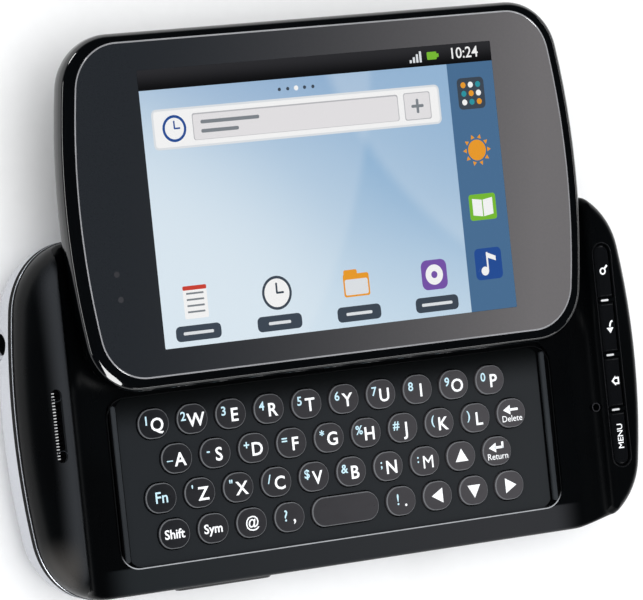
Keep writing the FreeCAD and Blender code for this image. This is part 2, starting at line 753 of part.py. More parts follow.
def rear_housing():
    body = new_body("rear_housing")
    wall_top = size.parting_height + size.overcut
    blank = Drawing(body, "blank")
    base_outline(blank)
    pad(body, blank, wall_top)
    dress(body, "Fillet", "back", lambda edge: all_at_height(edge, 0.0), size.back_radius)
    combine(body, tray_core(wall_top), "Cut")
    parting = Drawing(body, "parting", plane="XZ_Plane")
    parting_profile(parting, wall_top + size.overcut)
    pocket(body, parting, both_ways=True)

    # battery bay: walls that carry the main board, the opening, and the cover's seat
    walls = Drawing(body, "bay_walls", height=size.shell_wall)
    half_wall = size.battery_gap + size.bay_wall
    battery_box(walls, half_wall)
    pad(body, walls, main_board_bottom - size.shell_wall)
    opening = Drawing(body, "battery_opening", height=main_board_bottom)
    battery_box(opening, size.battery_gap)
    pocket(body, opening)
    seat = Drawing(body, "cover_seat")
    cover_outline(seat, 0.0)
    pocket(body, seat, size.cover_thickness, reverse=True)

    # holes in the back: camera window and loudspeaker slots
    camera = Drawing(body, "camera_hole", height=size.shell_wall)
    camera.circle(size.camera_offset, 0, size.camera_window_radius)
    pocket(body, camera)
    speaker = Drawing(body, "speaker_slots", height=size.shell_wall)
    for place in (-1, 0, 1):
        speaker.capsule(size.camera_offset + size.speaker_slot * 2 * place, size.speaker_station,
                        size.speaker_length, size.speaker_slot, upright=True)
    pocket(body, speaker)

    # holes in the walls: headset jack, USB port, volume rocker and power button
    jack = Drawing(body, "jack_hole", plane="YZ_Plane", height=-jack_block_face)
    jack.circle(size.jack_station, size.jack_height, size.jack_nose + size.jack_gap)
    pocket(body, jack)
    usb = Drawing(body, "usb_hole", plane="XZ_Plane", height=side_y - size.control_reach)
    usb.rounded_rectangle(size.usb_station, usb_centre_z, size.usb_width + size.usb_gap * 2,
                          size.usb_height + size.usb_gap * 2, size.usb_gap * 2)
    pocket(body, usb, reverse=True)
    rocker = Drawing(body, "rocker_hole", plane="XZ_Plane", height=side_y - size.control_reach)
    rocker.capsule(size.rocker_station, size.control_height, size.rocker_length + size.rocker_gap * 2,
                   size.rocker_thickness + size.rocker_gap * 2)
    pocket(body, rocker, reverse=True)
    power = Drawing(body, "power_hole", plane="XZ_Plane", height=size.control_reach - side_y)
    power.capsule(size.power_station, size.control_height, size.power_length + size.power_gap * 2,
                  size.power_thickness + size.power_gap * 2)
    pocket(body, power)
    return body


def tray_core(top):
    """The space inside the rear housing, one wall in from its outside all round."""
    core = new_body("tray_core")
    inside = Drawing(core, "inside", height=size.shell_wall)
    base_outline(inside, size.shell_wall)
    pad(core, inside, top - size.shell_wall + size.overcut)
    dress(core, "Chamfer", "corner", lambda edge: all_at_height(edge, size.shell_wall.value),
          size.tray_chamfer)
    return core


def battery_box(drawing, margin):
    half = size.battery_length / 2 + margin
    half_width = size.battery_width / 2 + margin
    drawing.rectangle(size.battery_shift - half, size.battery_shift + half, -half_width, half_width)


def cover_outline(drawing, gap):
    gap = Length.of(gap)
    drawing.rounded_rectangle(size.cover_shift, 0, size.cover_length - gap * 2, size.cover_width - gap * 2,
                              size.cover_corner - gap)


def battery_cover():
    body = new_body("battery_cover")
    plate = Drawing(body, "plate")
    cover_outline(plate, size.cover_gap)
    pad(body, plate, size.cover_thickness)
    return body


# ----------------------------------------------------------------------------------------------
# Base half: inner pieces
# ----------------------------------------------------------------------------------------------
def battery():
    body = new_body("battery")
    cell = Drawing(body, "cell", height=battery_bottom)
    battery_box(cell, 0)
    pad(body, cell, size.battery_thickness)
    return body


def main_board():
    """The main board, with the USB port's steel shell on its lower face."""
    body = new_body("main_board")
    board = Drawing(body, "board", height=main_board_bottom)
    board.rectangle(size.main_board_shift - size.main_board_length / 2,
                    size.main_board_shift + size.main_board_length / 2,
                    -(size.main_board_width / 2), size.main_board_width / 2)
    pad(body, board, size.board_thickness)
    port_face = side_y - size.usb_setback
    shell = Drawing(body, "usb_shell", plane="XZ_Plane", height=port_face)
    shell.rectangle(size.usb_station - size.usb_width / 2, size.usb_station + size.usb_width / 2,
                    usb_centre_z - size.usb_height / 2, main_board_bottom)
    pad(body, shell, size.usb_length, reverse=True)
    mouth = Drawing(body, "usb_mouth", plane="XZ_Plane", height=port_face)
    mouth.rectangle(size.usb_station - size.usb_width / 2 + size.usb_wall,
                    size.usb_station + size.usb_width / 2 - size.usb_wall,
                    usb_centre_z - size.usb_height / 2 + size.usb_wall,
                    main_board_bottom - size.usb_wall)
    pocket(body, mouth, size.usb_length - size.usb_wall)
    return body


def key_board():
    """The switch board under the keyboard, with an arm under the wing keys."""
    body = new_body("key_board")
    main = Drawing(body, "main", height=key_board_top - size.board_thickness)
    half = size.panel_length / 2 + size.key_board_margin
    half_width = size.panel_width / 2 + size.key_board_margin
    main.rectangle(-half, half, size.keyboard_centre - half_width, size.keyboard_centre + half_width)
    pad(body, main, size.board_thickness)
    arm = Drawing(body, "arm", height=key_board_top - size.board_thickness)
    half_arm = size.wing_slot_length / 2 + size.wing_board_margin
    arm.rectangle(size.panel_length / 2, size.wing_key_centre + size.stem_width / 2 + size.stem_margin,
                  -half_arm, half_arm)
    pad(body, arm, size.board_thickness)
    return body


def headset_jack():
    body = new_body("headset_jack")
    block = Drawing(body, "block", plane="YZ_Plane", height=-jack_block_face)
    block.rectangle(size.jack_station - size.jack_width / 2, size.jack_station + size.jack_width / 2,
                    size.jack_height - size.jack_block / 2, size.jack_height + size.jack_block / 2)
    pad(body, block, size.jack_depth - size.jack_nose_length + size.jack_end_wall)
    nose = Drawing(body, "nose", plane="YZ_Plane", height=-jack_block_face)
    nose.circle(size.jack_station, size.jack_height, size.jack_nose)
    pad(body, nose, size.jack_nose_length, reverse=True)
    bore = Drawing(body, "bore", plane="YZ_Plane", height=-jack_tip)
    bore.circle(size.jack_station, size.jack_height, size.jack_bore)
    pocket(body, bore, size.jack_depth, reverse=True)
    return body


def camera_module():
    body = new_body("camera_module")
    window = Drawing(body, "window", height=size.camera_recess)
    window.circle(size.camera_offset, 0, size.camera_window_radius - size.camera_gap)
    pad(body, window, size.shell_wall - size.camera_recess)
    block = Drawing(body, "block", height=size.shell_wall)
    half = size.camera_window_radius + size.camera_gap * 2
    block.rectangle(size.camera_offset - half, size.camera_offset + half, -half, half)
    pad(body, block, size.camera_depth - size.shell_wall)
    return body


def earpiece_grille():
    body = new_body("earpiece_grille")
    plate = Drawing(body, "plate", height=grille_top - size.grille_thickness)
    plate.capsule(size.earpiece_offset, 0, size.earpiece_length + size.grille_margin * 2 - size.panel_gap * 2,
                  size.earpiece_width + size.grille_margin * 2 - size.panel_gap * 2, upright=True)
    pad(body, plate, size.grille_thickness)
    slits = Drawing(body, "slits", height=grille_top)
    straight = size.earpiece_length.value - size.earpiece_width.value
    half_count = int(straight / 2 / size.grille_pitch.value)
    for place in range(-half_count, half_count + 1):
        middle = size.grille_pitch * place
        slits.rectangle(size.earpiece_offset - size.earpiece_width / 2 + size.grille_slit,
                        size.earpiece_offset + size.earpiece_width / 2 - size.grille_slit,
                        middle - size.grille_slit / 2, middle + size.grille_slit / 2)
    pocket(body, slits)
    return body


# ----------------------------------------------------------------------------------------------
# Keyboard
# ----------------------------------------------------------------------------------------------
def row_y(row):
    return size.keyboard_centre + size.row_pitch * (1.5 - row)


def column_x(row, column):
    return size.key_pitch * (column - (COLUMNS - 1) / 2 + ROW_STAGGER[row])


def key_cells():
    """Each key's name, row, place along the row in columns, and width."""
    for row, names in enumerate(ROW_KEYS):
        column = 0
        for name in names:
            if name == "space":
                yield name, row, column + 0.5, size.space_width
                column += 2
            else:
                yield name, row, column, size.key_width
                column += 1


def keyboard_panel():
    body = new_body("keyboard_panel")
    plate = Drawing(body, "plate", height=panel_bottom)
    keyboard_region(plate, 0, 0, 0, size.panel_corner)
    pad(body, plate, size.panel_thickness)
    for row in range(len(ROW_KEYS)):
        holes = Drawing(body, f"row_{row + 1}", height=panel_top)
        for _, cell_row, column, width in key_cells():
            if cell_row == row:
                holes.faceted_capsule(column_x(row, column), row_y(row), width + size.key_gap * 2,
                                      size.key_depth + size.key_gap * 2)
        pocket(body, holes)
    return body


def keyboard_key(name, row, column, width):
    """A keycap with its retaining flange and the stem that presses the switch."""
    body = new_body(f"key_{name}")
    cap = Drawing(body, "cap", height=flange_top)
    cap.faceted_capsule(0, 0, width, size.key_depth)
    pad(body, cap, key_top - flange_top)
    dress(body, "Chamfer", "bevel", lambda edge: all_at_height(edge, key_top.value), size.key_bevel)
    flange = Drawing(body, "flange", height=flange_bottom)
    half_width = width / 2 + size.key_flange
    half_depth = size.key_depth / 2 + size.key_flange
    flange.rectangle(-half_width, half_width, -half_depth, half_depth)
    pad(body, flange, size.flange_thickness)
    stem = Drawing(body, "stem", height=stem_bottom)
    stem.rectangle(-(size.stem_width / 2), size.stem_width / 2, -(size.stem_width / 2), size.stem_width / 2)
    pad(body, stem, flange_bottom - stem_bottom)
    body.setExpression("Placement.Base.x", column_x(row, column).text)
    body.setExpression("Placement.Base.y", row_y(row).text)
    return body


def wing_key(name, place):
    """One of the four keys in the wing's crown, with a long stem down to the switch board."""
    body = new_body(f"wing_key_{name}")
    low = size.wing_key_pitch * (place - 2) + size.wing_key_rib / 2 + size.wing_key_gap
    high = size.wing_key_pitch * (place - 1) - size.wing_key_rib / 2 - size.wing_key_gap
    end = size.wing_slot_length / 2 - size.wing_key_gap
    if place == 0:
        low = -end
    if place == len(WING_KEYS) - 1:
        high = end
    width = size.wing_key_slot - size.wing_key_gap * 2
    left, right = size.wing_key_centre - width / 2, size.wing_key_centre + width / 2
    cap_bottom = wing_ceiling - size.flange_gap
    cap_top = size.crest_height + size.wing_key_proud
    cap = Drawing(body, "cap", height=cap_bottom)
    if place in (0, len(WING_KEYS) - 1):
        cap.capsule(size.wing_key_centre, 0, end * 2, width, upright=True)
    else:
        cap.rectangle(left, right, low, high)
    pad(body, cap, cap_top - cap_bottom)
    if place in (0, len(WING_KEYS) - 1):
        trim = Drawing(body, "trim", height=cap_top + size.overcut)
        if place == 0:
            trim.rectangle(left - size.overcut, right + size.overcut, high, end + size.overcut)
        else:
            trim.rectangle(left - size.overcut, right + size.overcut, -end - size.overcut, low)
        pocket(body, trim)
    dress(body, "Chamfer", "bevel", lambda edge: all_at_height(edge, cap_top.value), size.wing_key_bevel)
    flange = Drawing(body, "flange", height=cap_bottom - size.wing_flange)
    half = size.wing_pocket / 2 - size.wing_flange_margin
    flange.rectangle(size.wing_key_centre - half, size.wing_key_centre + half,
                     low - size.wing_flange_margin, high + size.wing_flange_margin)
    pad(body, flange, size.wing_flange)
    stem = Drawing(body, "stem", height=stem_bottom)
    middle = (low + high) / 2
    stem.rectangle(size.wing_key_centre - size.stem_width / 2, size.wing_key_centre + size.stem_width / 2,
                   middle - size.stem_width / 2, middle + size.stem_width / 2)
    pad(body, stem, cap_bottom - size.wing_flange - stem_bottom)
    return body


# ----------------------------------------------------------------------------------------------
# Side controls
# ----------------------------------------------------------------------------------------------
def side_control(name, station, length, thickness, proud, side):
    """A button in the long wall at -Y (side -1) or +Y (side 1), with ears that hold it in."""
    body = new_body(name)
    face = side_y - size.control_flange_depth
    outward = side == 1
    cap = Drawing(body, "cap", plane="XZ_Plane", height=face * -side)
    cap.capsule(station, size.control_height, length, thickness)
    pad(body, cap, size.control_flange_depth + proud, reverse=outward)
    outer = (side_y + proud).value * side
    dress(body, "Chamfer", "bevel",
          lambda edge: all(abs(vertex.Y - outer) < TOUCH for vertex in edge.Vertexes), size.control_bevel)
    ears = Drawing(body, "ears", plane="XZ_Plane", height=face * -side)
    half = length / 2 + size.control_ear
    half_height = thickness / 2 - size.control_bevel / 2
    ears.rectangle(station - half, station + half,
                   size.control_height - half_height, size.control_height + half_height)
    pad(body, ears, size.control_flange, reverse=not outward)
    return body


def power_button():
    return side_control("power_button", size.power_station, size.power_length, size.power_thickness,
                        size.power_proud, 1)


def volume_rocker():
    body = side_control("volume_rocker", size.rocker_station, size.rocker_length, size.rocker_thickness,
                        size.rocker_proud, -1)
    half_height = (size.rocker_thickness - size.control_bevel) / 2
    pivot = Drawing(body, "pivot", height=size.control_height - half_height)
    pivot.circle(size.rocker_station, size.control_flange_depth - side_y, size.rocker_pivot)
    pad(body, pivot, half_height * 2)
    return body


# ----------------------------------------------------------------------------------------------
# Slide
# ----------------------------------------------------------------------------------------------
def slide_carriage():
    """The fixed half of the slide: a plate let into the bay floor, with two T-section rails."""
    body = new_body("slide_carriage")
    plate = Drawing(body, "plate", height=bay_floor - size.carriage_thickness)
    half, half_width = size.carriage_length / 2, size.carriage_width / 2
    plate.rectangle(size.panel_gap - half, half - size.panel_gap,
                    size.rail_centre - half_width + size.panel_gap,
                    size.rail_centre + half_width - size.panel_gap)
    pad(body, plate, size.carriage_thickness)
    webs = Drawing(body, "webs", height=bay_floor)
    heads = Drawing(body, "heads", height=rail_head_bottom)
    for x in rail_places():
        for drawing, width in ((webs, size.rail_web), (heads, size.rail_head)):
            drawing.rectangle(x - width / 2, x + width / 2, size.rail_centre - size.rail_length / 2,
                              size.rail_centre + size.rail_length / 2)
    pad(body, webs, rail_head_bottom - bay_floor)
    pad(body, heads, size.rail_head_height)
    return body


def guide_slots(drawing, width):
    """The long slots that the rails run in, over the whole travel."""
    near = size.rail_centre - size.rail_length / 2 - size.slide_end_gap
    far = size.rail_centre + size.rail_length / 2 + size.travel + size.slide_end_gap
    for x in rail_places():
        drawing.rectangle(x - width / 2, x + width / 2, near, far)


def slide_plate():
    """The moving half of the slide: a steel plate in the display half's underside."""
    body = new_body("slide_plate")
    plate = Drawing(body, "plate", height=size.lid_underside)
    plate.rounded_rectangle(0, size.travel, size.plate_length - size.panel_gap * 2,
                            size.plate_width - size.panel_gap * 2, size.plate_corner)
    pad(body, plate, size.plate_thickness)
    slots = Drawing(body, "slots", height=plate_top)
    guide_slots(slots, size.rail_web + size.slide_gap * 2)
    pocket(body, slots)
    return body


# ----------------------------------------------------------------------------------------------
# Display half
# ----------------------------------------------------------------------------------------------
def display_bezel():
    body = new_body("display_bezel")
    blank = Drawing(body, "blank", height=size.lid_underside)
    blank.bowed_rectangle(0, size.travel, size.lid_length, size.lid_width, size.lid_corner, size.lid_bow)
    pad(body, blank, size.lid_top - size.lid_underside)
    dress(body, "Fillet", "under", lambda edge: all_at_height(edge, size.lid_underside.value),
          size.lid_under_radius)
    dress(body, "Fillet", "top", lambda edge: all_at_height(edge, size.lid_top.value), size.lid_top_radius)

    window = Drawing(body, "window_seat", height=size.lid_top)
    window_outline(window, 0.0)
    pocket(body, window, size.window_thickness)
    module = Drawing(body, "module_seat", height=window_bottom)
    module_box(module, size.module_gap)
    pocket(body, module, window_bottom - module_bottom)

    plate = Drawing(body, "plate_seat", height=size.lid_underside)
    plate.rounded_rectangle(0, size.travel, size.plate_length, size.plate_width, size.plate_corner)
    pocket(body, plate, size.plate_thickness, reverse=True)
    channels = Drawing(body, "rail_channels", height=plate_top)
    guide_slots(channels, size.rail_head + size.slide_gap * 2)
    pocket(body, channels, rail_head_top + size.slide_gap - plate_top, reverse=True)
    return body


def window_outline(drawing, gap):
    gap = Length.of(gap)
    drawing.bowed_rectangle(0, size.travel + size.window_shift, size.window_length - gap * 2,
                            size.window_width - gap * 2, size.window_corner - gap, size.lid_bow - gap)


def front_window():
    body = new_body("front_window")
    glass = Drawing(body, "glass", height=window_bottom)
    window_outline(glass, size.window_gap)
    pad(body, glass, size.window_thickness)
    dress(body, "Chamfer", "bevel", lambda edge: all_at_height(edge, size.lid_top.value), size.window_bevel)
    return body


def module_box(drawing, margin):
    half, half_width = size.module_length / 2 + margin, size.module_width / 2 + margin
    drawing.rectangle(-half, half, size.travel - half_width, size.travel + half_width)


def display_module():
    body = new_body("display_module")
    panel = Drawing(body, "panel", height=module_bottom)
    module_box(panel, 0)
    pad(body, panel, size.module_thickness)
    return body


# ----------------------------------------------------------------------------------------------
# Build, check and write
# ----------------------------------------------------------------------------------------------
subparts = [front_housing(), rear_housing(), battery_cover(), battery(), main_board(), key_board(),
            keyboard_panel(), earpiece_grille(), headset_jack(), camera_module(), slide_carriage(),
            power_button(), volume_rocker(),
            display_bezel(), front_window(), display_module(), slide_plate()]
subparts += [keyboard_key(*cell) for cell in key_cells()]
subparts += [wing_key(name, place) for place, name in enumerate(WING_KEYS)]
doc.recompute()

for item in doc.Objects:
    if "Invalid" in item.State or "Error" in item.State:
        raise RuntimeError(f"{item.Label}: {item.State}")
for part in subparts:
    if part.Shape.isNull() or not part.Shape.isValid() or part.Shape.Volume <= 0:
        raise RuntimeError(f"{part.Label} has no valid shape")

os.makedirs("parts", exist_ok=True)
for part in subparts:
    part.Shape.exportStep(f"parts/{part.Label}.step")
print(f"{len(subparts)} sub-parts written")
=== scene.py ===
"""The looks of the slider phone: moulded keycaps, a window with an ink border over a lit picture,
trim, legends, and a procedural finish on every piece. Everything is in metres, in the frame of the solids."""
import math

import bmesh
import bpy
from mathutils import Matrix, Vector
from mathutils.bvhtree import BVHTree


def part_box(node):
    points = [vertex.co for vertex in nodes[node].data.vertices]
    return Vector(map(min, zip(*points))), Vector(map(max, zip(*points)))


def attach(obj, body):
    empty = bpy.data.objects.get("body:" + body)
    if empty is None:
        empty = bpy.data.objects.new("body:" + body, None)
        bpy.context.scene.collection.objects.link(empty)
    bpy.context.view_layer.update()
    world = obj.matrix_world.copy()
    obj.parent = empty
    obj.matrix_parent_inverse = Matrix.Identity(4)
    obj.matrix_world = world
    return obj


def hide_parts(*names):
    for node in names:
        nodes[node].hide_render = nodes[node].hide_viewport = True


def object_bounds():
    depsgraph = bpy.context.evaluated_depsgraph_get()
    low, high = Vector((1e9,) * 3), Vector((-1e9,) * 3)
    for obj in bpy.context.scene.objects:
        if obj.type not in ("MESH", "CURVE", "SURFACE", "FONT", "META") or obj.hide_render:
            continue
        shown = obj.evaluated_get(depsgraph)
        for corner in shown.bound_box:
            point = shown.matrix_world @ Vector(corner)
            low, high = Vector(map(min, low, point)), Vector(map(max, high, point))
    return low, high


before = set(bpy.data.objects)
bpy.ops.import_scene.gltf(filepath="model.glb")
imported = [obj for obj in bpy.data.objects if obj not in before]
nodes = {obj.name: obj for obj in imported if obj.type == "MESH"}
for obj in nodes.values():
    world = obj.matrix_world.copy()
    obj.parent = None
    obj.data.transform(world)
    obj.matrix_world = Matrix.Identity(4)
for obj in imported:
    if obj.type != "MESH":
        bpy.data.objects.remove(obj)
cad_low, cad_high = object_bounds()
MM = 0.001
QUARTER, HALF_TURN, FULL_TURN = math.pi / 2, math.pi, 2 * math.pi


def new_object(name, data):
    made = bpy.data.objects.new(name, data)
    bpy.context.scene.collection.objects.link(made)
    return made


def make_camera():
    """A long lens above the phone and to its left."""
    data = bpy.data.cameras.new("camera")
    data.sensor_width = 36.0
    data.lens = 247.4
    data.clip_start, data.clip_end = 0.05, 20.0
    camera = new_object("camera", data)
    position = (-0.36766, 0.032405, 0.644912)
    right = Vector((0.859806, -0.103039, 0.500117))
    up = Vector((0.101049, 0.994394, 0.031151))
    back = Vector((-0.500523, 0.023753, 0.865397))
    camera.matrix_world = Matrix.Translation(position) @ Matrix((right, up, back)).transposed().to_4x4()
    bpy.context.scene.camera = camera


make_camera()


# ---- Building node trees ----
class Tree:
    """A node tree whose nodes are added by kind and linked as they are made."""
    family = "ShaderNode"

    def __init__(self, tree):
        self.tree = tree

    def node(self, kind, settings=None, **inputs):
        """Add a node of this family; an input is a plain value, or a socket, which is linked."""
        made = self.tree.nodes.new(kind if "Node" in kind else self.family + kind)
        for key, value in (settings or {}).items():
            setattr(made, key, value)
        for key, value in inputs.items():
            self.feed(made, key.replace("_", " "), value)
        return made

    def out(self, kind, settings=None, **inputs):
        return self.node(kind, settings, **inputs).outputs[0]

    def feed(self, made, key, value):
        if isinstance(value, bpy.types.NodeSocket):
            self.tree.links.new(value, made.inputs[key])
        else:
            made.inputs[key].default_value = value

    def math(self, operation, *values):
        made = self.node("ShaderNodeMath", {"operation": operation})
        for index, value in enumerate(values):
            self.feed(made, index, value)
        return made.outputs[0]

    def times(self, first, *others):
        for other in others:
            first = self.math("MULTIPLY", first, other)
        return first

    def plus(self, first, second):
        return self.math("ADD", first, second)

    def minus(self, first, second):
        return self.math("SUBTRACT", first, second)

    def place(self, kind="Object"):
        return self.node("TexCoord").outputs[kind]

    def axes(self, kind="Object"):
        return self.node("SeparateXYZ", Vector=self.place(kind)).outputs

    def ramp(self, value, start, end, low=0.0, high=1.0, smooth=True):
        """low where value is start, high where it is end."""
        return self.out("MapRange", {"interpolation_type": "SMOOTHSTEP" if smooth else "LINEAR"}, Value=value,
                        From_Min=start, From_Max=end, To_Min=low, To_Max=high)

    def mix(self, share, first, second):
        made = self.node("Mix", {"data_type": "RGBA"})
        for index, value in ((0, share), (6, first), (7, second)):
            self.feed(made, index, value)
        return made.outputs[2]


# ---- Finishes ----
GRAIN_DEPTH, LINE_DEPTH = 0.02 * MM, 0.03 * MM


def rgb(red, green, blue):
    """A colour written in screen numbers, 0 to 255, as the linear colour that shaders take."""
    def linear(part):
        part /= 255.0
        return part / 12.92 if part <= 0.04045 else ((part + 0.055) / 1.055) ** 2.4
    return (linear(red), linear(green), linear(blue), 1.0)


def lighter(shade, lift):
    return tuple(min(1.0, part * lift) for part in shade[:3]) + (1.0,)


class Finish(Tree):
    """A material on the principled shader."""

    def __init__(self, name):
        self.material = bpy.data.materials.new(name)
        self.material.use_nodes = True
        super().__init__(self.material.node_tree)

    def set(self, **inputs):
        surface = self.tree.nodes["Principled BSDF"]
        for key, value in inputs.items():
            self.feed(surface, key.replace("_", " "), value)
        return self.material

    def noise(self, scale, detail=3.0, stretch=None):
        vector = self.place()
        if stretch:
            vector = self.out("Mapping", Vector=vector, Scale=stretch)
        return self.out("TexNoise", Vector=vector, Scale=scale, Detail=detail)

    def between(self, value, low, high):
        """value from 0 to 1 spread over low to high."""
        return self.ramp(value, 0.0, 1.0, low, high, smooth=False)

    def bump(self, height, strength, depth=GRAIN_DEPTH):
        return self.out("Bump", Height=height, Strength=strength, Distance=depth)

    def grain(self, scale, strength):
        return self.bump(self.noise(scale, 2.0), strength)

    def wear(self, low, high, scale=300.0, detail=4.0):
        """A roughness that wanders from low to high."""
        return self.between(self.noise(scale, detail), low, high)

    def smear(self, low, high):
        """A roughness that wanders in streaks along X."""
        return self.between(self.noise(260.0, 5.0, (1.0, 0.35, 1.0)), low, high)

    def cloudy(self, shade, lift=1.3):
        """A shade with a faint cloudiness, as moulded plastic has."""
        return self.mix(self.ramp(self.noise(60.0, 4.0), 0.35, 0.7), shade, lighter(shade, lift))


def moulded(name, shade, rough, swing=0.05, grain=0.0, grain_scale=4000.0, coat=0.0, gloss=0.5):
    """Moulded plastic: a faint cloudiness in colour and gloss, and a fine surface grain."""
    finish = Finish(name)
    if grain:
        finish.set(Normal=finish.grain(grain_scale, grain))
    return finish.set(Base_Color=finish.cloudy(shade), Specular_IOR_Level=gloss,
                      Coat_Weight=coat, Coat_Roughness=0.06,
                      Roughness=finish.smear(max(0.02, rough - swing), rough + swing))


gloss_black = moulded("piano_black_plastic", rgb(3, 4, 5), 0.06, 0.03, 0.04, 1500.0, gloss=0.9)
wing_key_black = moulded("wing_key_plastic", rgb(10, 11, 13), 0.2, 0.05, 0.06, 3000.0)
inner_black = moulded("inner_black_plastic", rgb(16, 16, 17), 0.55, 0.08, 0.4, 3500.0, gloss=0.3)
groove_black = moulded("groove_shadow_plastic", rgb(3, 3, 4), 0.7, 0.08, 0.3, 3000.0, gloss=0.15)
dome_sheet = moulded("dome_sheet_film", rgb(8, 9, 10), 0.6, 0.06, 0.2, 2500.0, gloss=0.2)
button_black = moulded("button_plastic", rgb(20, 20, 22), 0.3, 0.05, 0.1, 4000.0)
bead_grey = moulded("bead_satin_plastic", rgb(44, 47, 50), 0.24, 0.05, 0.08, 3000.0)
wrap_grey = moulded("battery_wrap_film", rgb(92, 96, 104), 0.4, 0.08, 0.15, 900.0)
lens_black = moulded("camera_window_glass", rgb(5, 6, 9), 0.05, 0.02)
sensor_grey = moulded("sensor_window_film", rgb(50, 50, 53), 0.12, 0.03)
rim_black = moulded("gloss_rim_plastic", rgb(22, 22, 24), 0.1, 0.03, coat=1.0, gloss=1.0)
mesh_metal = moulded("grille_wire", rgb(196, 197, 198), 0.3, 0.06, 0.1, 3000.0)
# pale grey that partly stands in for the highlight on the window's edge: painted highlight
rim_pale_highlight = moulded("silvered_rim_plastic", rgb(142, 142, 145), 0.16, 0.05, 0.04, 2500.0, coat=0.6)

PANEL_LOW, PANEL_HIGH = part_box("keyboard_panel")
PANEL_CENTRE = (PANEL_LOW + PANEL_HIGH) / 2
PANEL_LENGTH, PANEL_WIDTH = PANEL_HIGH.x - PANEL_LOW.x, PANEL_HIGH.y - PANEL_LOW.y


def housing_plastic():
    """Satin black, with painted highlights on the earpiece wing's crest and front corner, and a painted sheen
    on the lip before the keys that lightens towards +X.
    """
    finish = Finish("satin_black_plastic")
    x, y, z = finish.axes()
    front, end = PANEL_LOW.y, PANEL_HIGH.x
    # the lip before the keys: a painted sheen in its colour, and a rougher finish
    strip = finish.times(finish.ramp(y, front + 0.3 * MM, front - 0.1 * MM),
                         finish.ramp(finish.math("ABSOLUTE", x), end + 5.5 * MM, end - 0.5 * MM),
                         finish.ramp(y, cad_low.y + 0.1 * MM, cad_low.y + 1.2 * MM))
    # painted highlight along the inner edge of the earpiece wing's crest
    painted_crest_highlight = finish.times(finish.ramp(x, -55.2 * MM, -51.9 * MM), finish.ramp(x, -50.3 * MM, -51.4 * MM),
                         finish.ramp(z, 12.0 * MM, 14.2 * MM))
    # painted highlight on the earpiece wing's front corner
    corner = finish.times(finish.ramp(x, -50.5 * MM, -53.5 * MM), finish.ramp(y, -17.0 * MM, -24.0 * MM),
                          finish.ramp(z, 9.0 * MM, 12.0 * MM))
    # painted light: the lip's sheen lightens towards +X
    along = finish.ramp(x, -42.0 * MM, 30.0 * MM, smooth=False)
    shade = finish.mix(painted_crest_highlight, finish.cloudy(rgb(4, 5, 6), 1.4), rgb(46, 48, 51))
    shade = finish.mix(corner, shade, rgb(66, 64, 62))
    shade = finish.mix(strip, shade, finish.mix(along, rgb(31, 35, 38), rgb(46, 47, 50)))
    return finish.set(Base_Color=shade, Specular_IOR_Level=0.18, Normal=finish.grain(5000.0, 0.08),
                      Roughness=finish.plus(finish.smear(0.24, 0.32), finish.times(strip, 0.2)))


def keycap_finish():
    """Semi-gloss caps, with painted light that lightens them towards +X and a painted highlight round their
    rims.
    """
    finish = Finish("keycap_plastic")
    # painted light: the caps lighten towards +X
    along = finish.ramp(finish.axes()["X"], -38.0 * MM, 30.0 * MM, smooth=False)
    shade = finish.mix(along, rgb(20, 22, 26), rgb(70, 68, 71))
    streaks = finish.noise(900.0, 4.0, (0.4, 1.0, 1.0))
    face = finish.mix(finish.between(streaks, 0.0, 0.05), shade, rgb(120, 122, 126))
    # painted highlight round each cap's rim, where its normal tilts away from up
    tilt = finish.node("SeparateXYZ", Vector=finish.node("NewGeometry").outputs["Normal"]).outputs["Z"]
    painted_rim_highlight = finish.times(finish.ramp(tilt, 0.97, 0.8), finish.ramp(tilt, 0.1, 0.5), 0.55)
    return finish.set(Base_Color=finish.mix(painted_rim_highlight, face, rgb(150, 152, 156)),
                      Roughness=finish.wear(0.24, 0.36, 1200.0, 3.0), Normal=finish.grain(5000.0, 0.12))


def panel_finish():
    """Fine matte charcoal, with painted light that lightens it towards +X and painted shade that darkens it
    at the back, under the display half.
    """
    finish = Finish("charcoal_panel_plastic")
    x, y, _ = finish.axes()
    # painted light: lighter towards +X
    shade = finish.mix(finish.ramp(x, -41.0 * MM, 41.0 * MM, smooth=False), rgb(33, 37, 41), rgb(41, 44, 47))
    # painted shade at the back, under the display half
    shade = finish.mix(finish.ramp(y, -3.5 * MM, 2.9 * MM), shade, rgb(6, 9, 10))
    return finish.set(Base_Color=shade, Roughness=finish.wear(0.4, 0.52), Normal=finish.grain(6000.0, 0.3))


def recess_edge_finish():
    """The step round the keyboard: dark at the back, with a painted highlight along the front."""
    finish = Finish("recess_edge_plastic")
    # painted highlight along the front of the edge
    front = finish.ramp(finish.axes()["Y"], PANEL_LOW.y + 2.6 * MM, PANEL_LOW.y + 0.2 * MM)
    speck = finish.noise(700.0, 4.0)
    light = finish.mix(speck, rgb(150, 152, 156), rgb(184, 186, 190))
    return finish.set(Base_Color=finish.mix(front, rgb(14, 15, 16), light),
                      Roughness=finish.between(speck, 0.18, 0.3))


def silver_paint():
    """Satin silver-grey with a faint flake."""
    finish = Finish("silver_grey_paint")
    flake = finish.out("TexVoronoi", Vector=finish.place(), Scale=9000.0)
    shade = finish.mix(finish.ramp(finish.noise(45.0, 4.0), 0.3, 0.7), rgb(174, 176, 182), rgb(188, 190, 196))
    shade = finish.mix(finish.ramp(flake, 0.2, 0.75, 0.0, 0.35), shade, rgb(212, 214, 220))
    return finish.set(Base_Color=shade, Roughness=finish.wear(0.3, 0.42), Normal=finish.bump(flake, 0.06),
                      Metallic=0.08, Coat_Weight=0.3, Coat_Roughness=0.12)


